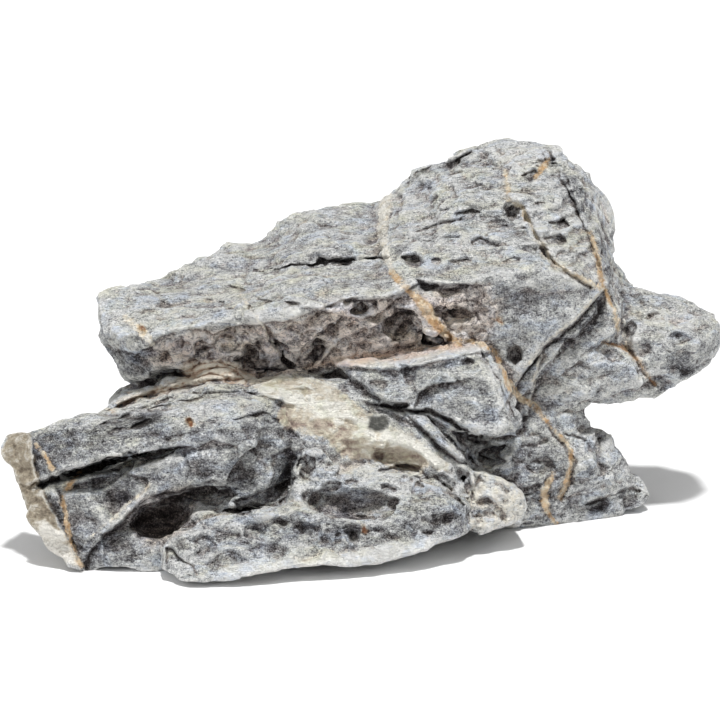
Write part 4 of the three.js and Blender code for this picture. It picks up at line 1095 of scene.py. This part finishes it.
    blotted = n.math("MULTIPLY", n.noise((5, 5, 5), 5, 0.7), 0.45)
    rust = n.math("ADD", n.attribute("rust"), blotted, clamp=True)
    wobble = n.noise((2.4, 2.4, 2.4), 5, 0.72)
    vein = n.total((n.attribute("vein"), 1.0), (wobble, 2.4), (mottle, 1.2))
    stained = n.product(n.spread(vein, 3.2, 0.0, 0.0, 0.7), n.math("ADD", rust, 0.12))
    colour = n.tinted(stained, colour, VEIN_STAIN)
    patchy = n.spread(n.noise((4, 4, 4), 4, 0.7), -0.8, 0.1, 0.25, 1.0)
    colour = n.mix(n.math("MULTIPLY", n.spread(vein, 0.8, -0.6), patchy), colour, n.ramp(rust, RUSTS))

    shader = material.node_tree.nodes["Principled BSDF"]
    material.node_tree.links.new(colour, shader.inputs["Base Color"])
    material.node_tree.links.new(n.spread(mottle, -1, 1, 0.92, 0.7), shader.inputs["Roughness"])
    shader.inputs["Specular IOR Level"].default_value = SPECULAR
    height = n.total((chip_a, 0.38), (chip_b, 0.46), (chip_c, 0.70), (grain, 0.10), (pits, -0.25),
                     (n.product(flecks, up), 0.26), (n.product(streak, up), 0.36), (speckle, 0.14),
                     (thread, 0.12), (ledge_a, 0.26), (ledge_b, 0.20))
    bump = n.add("ShaderNodeBump", {"Height": height, "Strength": 1.0, "Distance": BUMP_DEPTH})
    material.node_tree.links.new(bump.outputs["Normal"], shader.inputs["Normal"])
    return material


stone = build_surface()
paint(stone)
stone.data.materials.clear()
stone.data.materials.append(limestone())
stone.data.shade_smooth()
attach(stone, "root")
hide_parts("stone")


# ---------------------------------------------------------------- studio

SENSOR = 36.0
NEAREST_SEEN = 0.05
FLOOR_HALF = 4.0
FLOOR_GREY = (0.86, 0.86, 0.86, 1)
FLOOR_ROUGHNESS = 0.9
# Each sun: the way to it, how strong it is, and how broad in degrees.
SUNS = {"key": ((0.05, -0.15, 1.0), 3.2, 6), "side": ((-0.7, -0.8, 0.6), 0.5, 30)}
SKY_STRENGTH = 0.45


def add_camera():
    camera = bpy.data.objects.new("camera", bpy.data.cameras.new("camera"))
    bpy.context.scene.collection.objects.link(camera)
    camera.location = eye_place()
    camera.rotation_euler = (math.radians(90) - VIEW_TILT, 0, 0)
    camera.data.sensor_width = SENSOR
    camera.data.lens = SENSOR * EYE_DISTANCE / (PICTURE * PIXEL)
    camera.data.clip_start = NEAREST_SEEN
    bpy.context.scene.camera = camera


def add_sun(name, toward, strength, spread):
    """A broad soft light from the direction given."""
    light = bpy.data.objects.new(name, bpy.data.lights.new(name, "SUN"))
    bpy.context.scene.collection.objects.link(light)
    light.data.energy = strength
    light.data.angle = math.radians(spread)
    light.rotation_euler = (-Vector(toward)).to_track_quat("-Z", "Y").to_euler()


def add_floor():
    low, high = -FLOOR_HALF, FLOOR_HALF
    mesh = bpy.data.meshes.new("floor")
    mesh.from_pydata([(low, low, 0), (high, low, 0), (high, high, 0), (low, high, 0)], [], [(0, 1, 2, 3)])
    floor = bpy.data.objects.new("floor", mesh)
    bpy.context.scene.collection.objects.link(floor)
    material = bpy.data.materials.new("floor")
    material.use_nodes = True
    shader = material.node_tree.nodes["Principled BSDF"]
    shader.inputs["Base Color"].default_value = FLOOR_GREY
    shader.inputs["Roughness"].default_value = FLOOR_ROUGHNESS
    floor.data.materials.append(material)


def add_sky():
    world = bpy.data.worlds.new("studio")
    world.use_nodes = True
    background = world.node_tree.nodes["Background"]
    background.inputs["Color"].default_value = (1, 1, 1, 1)
    background.inputs["Strength"].default_value = SKY_STRENGTH
    bpy.context.scene.world = world
    bpy.context.scene.view_settings.view_transform = "Standard"


add_camera()
add_floor()
for sun, settings in SUNS.items():
    add_sun(sun, *settings)
add_sky()
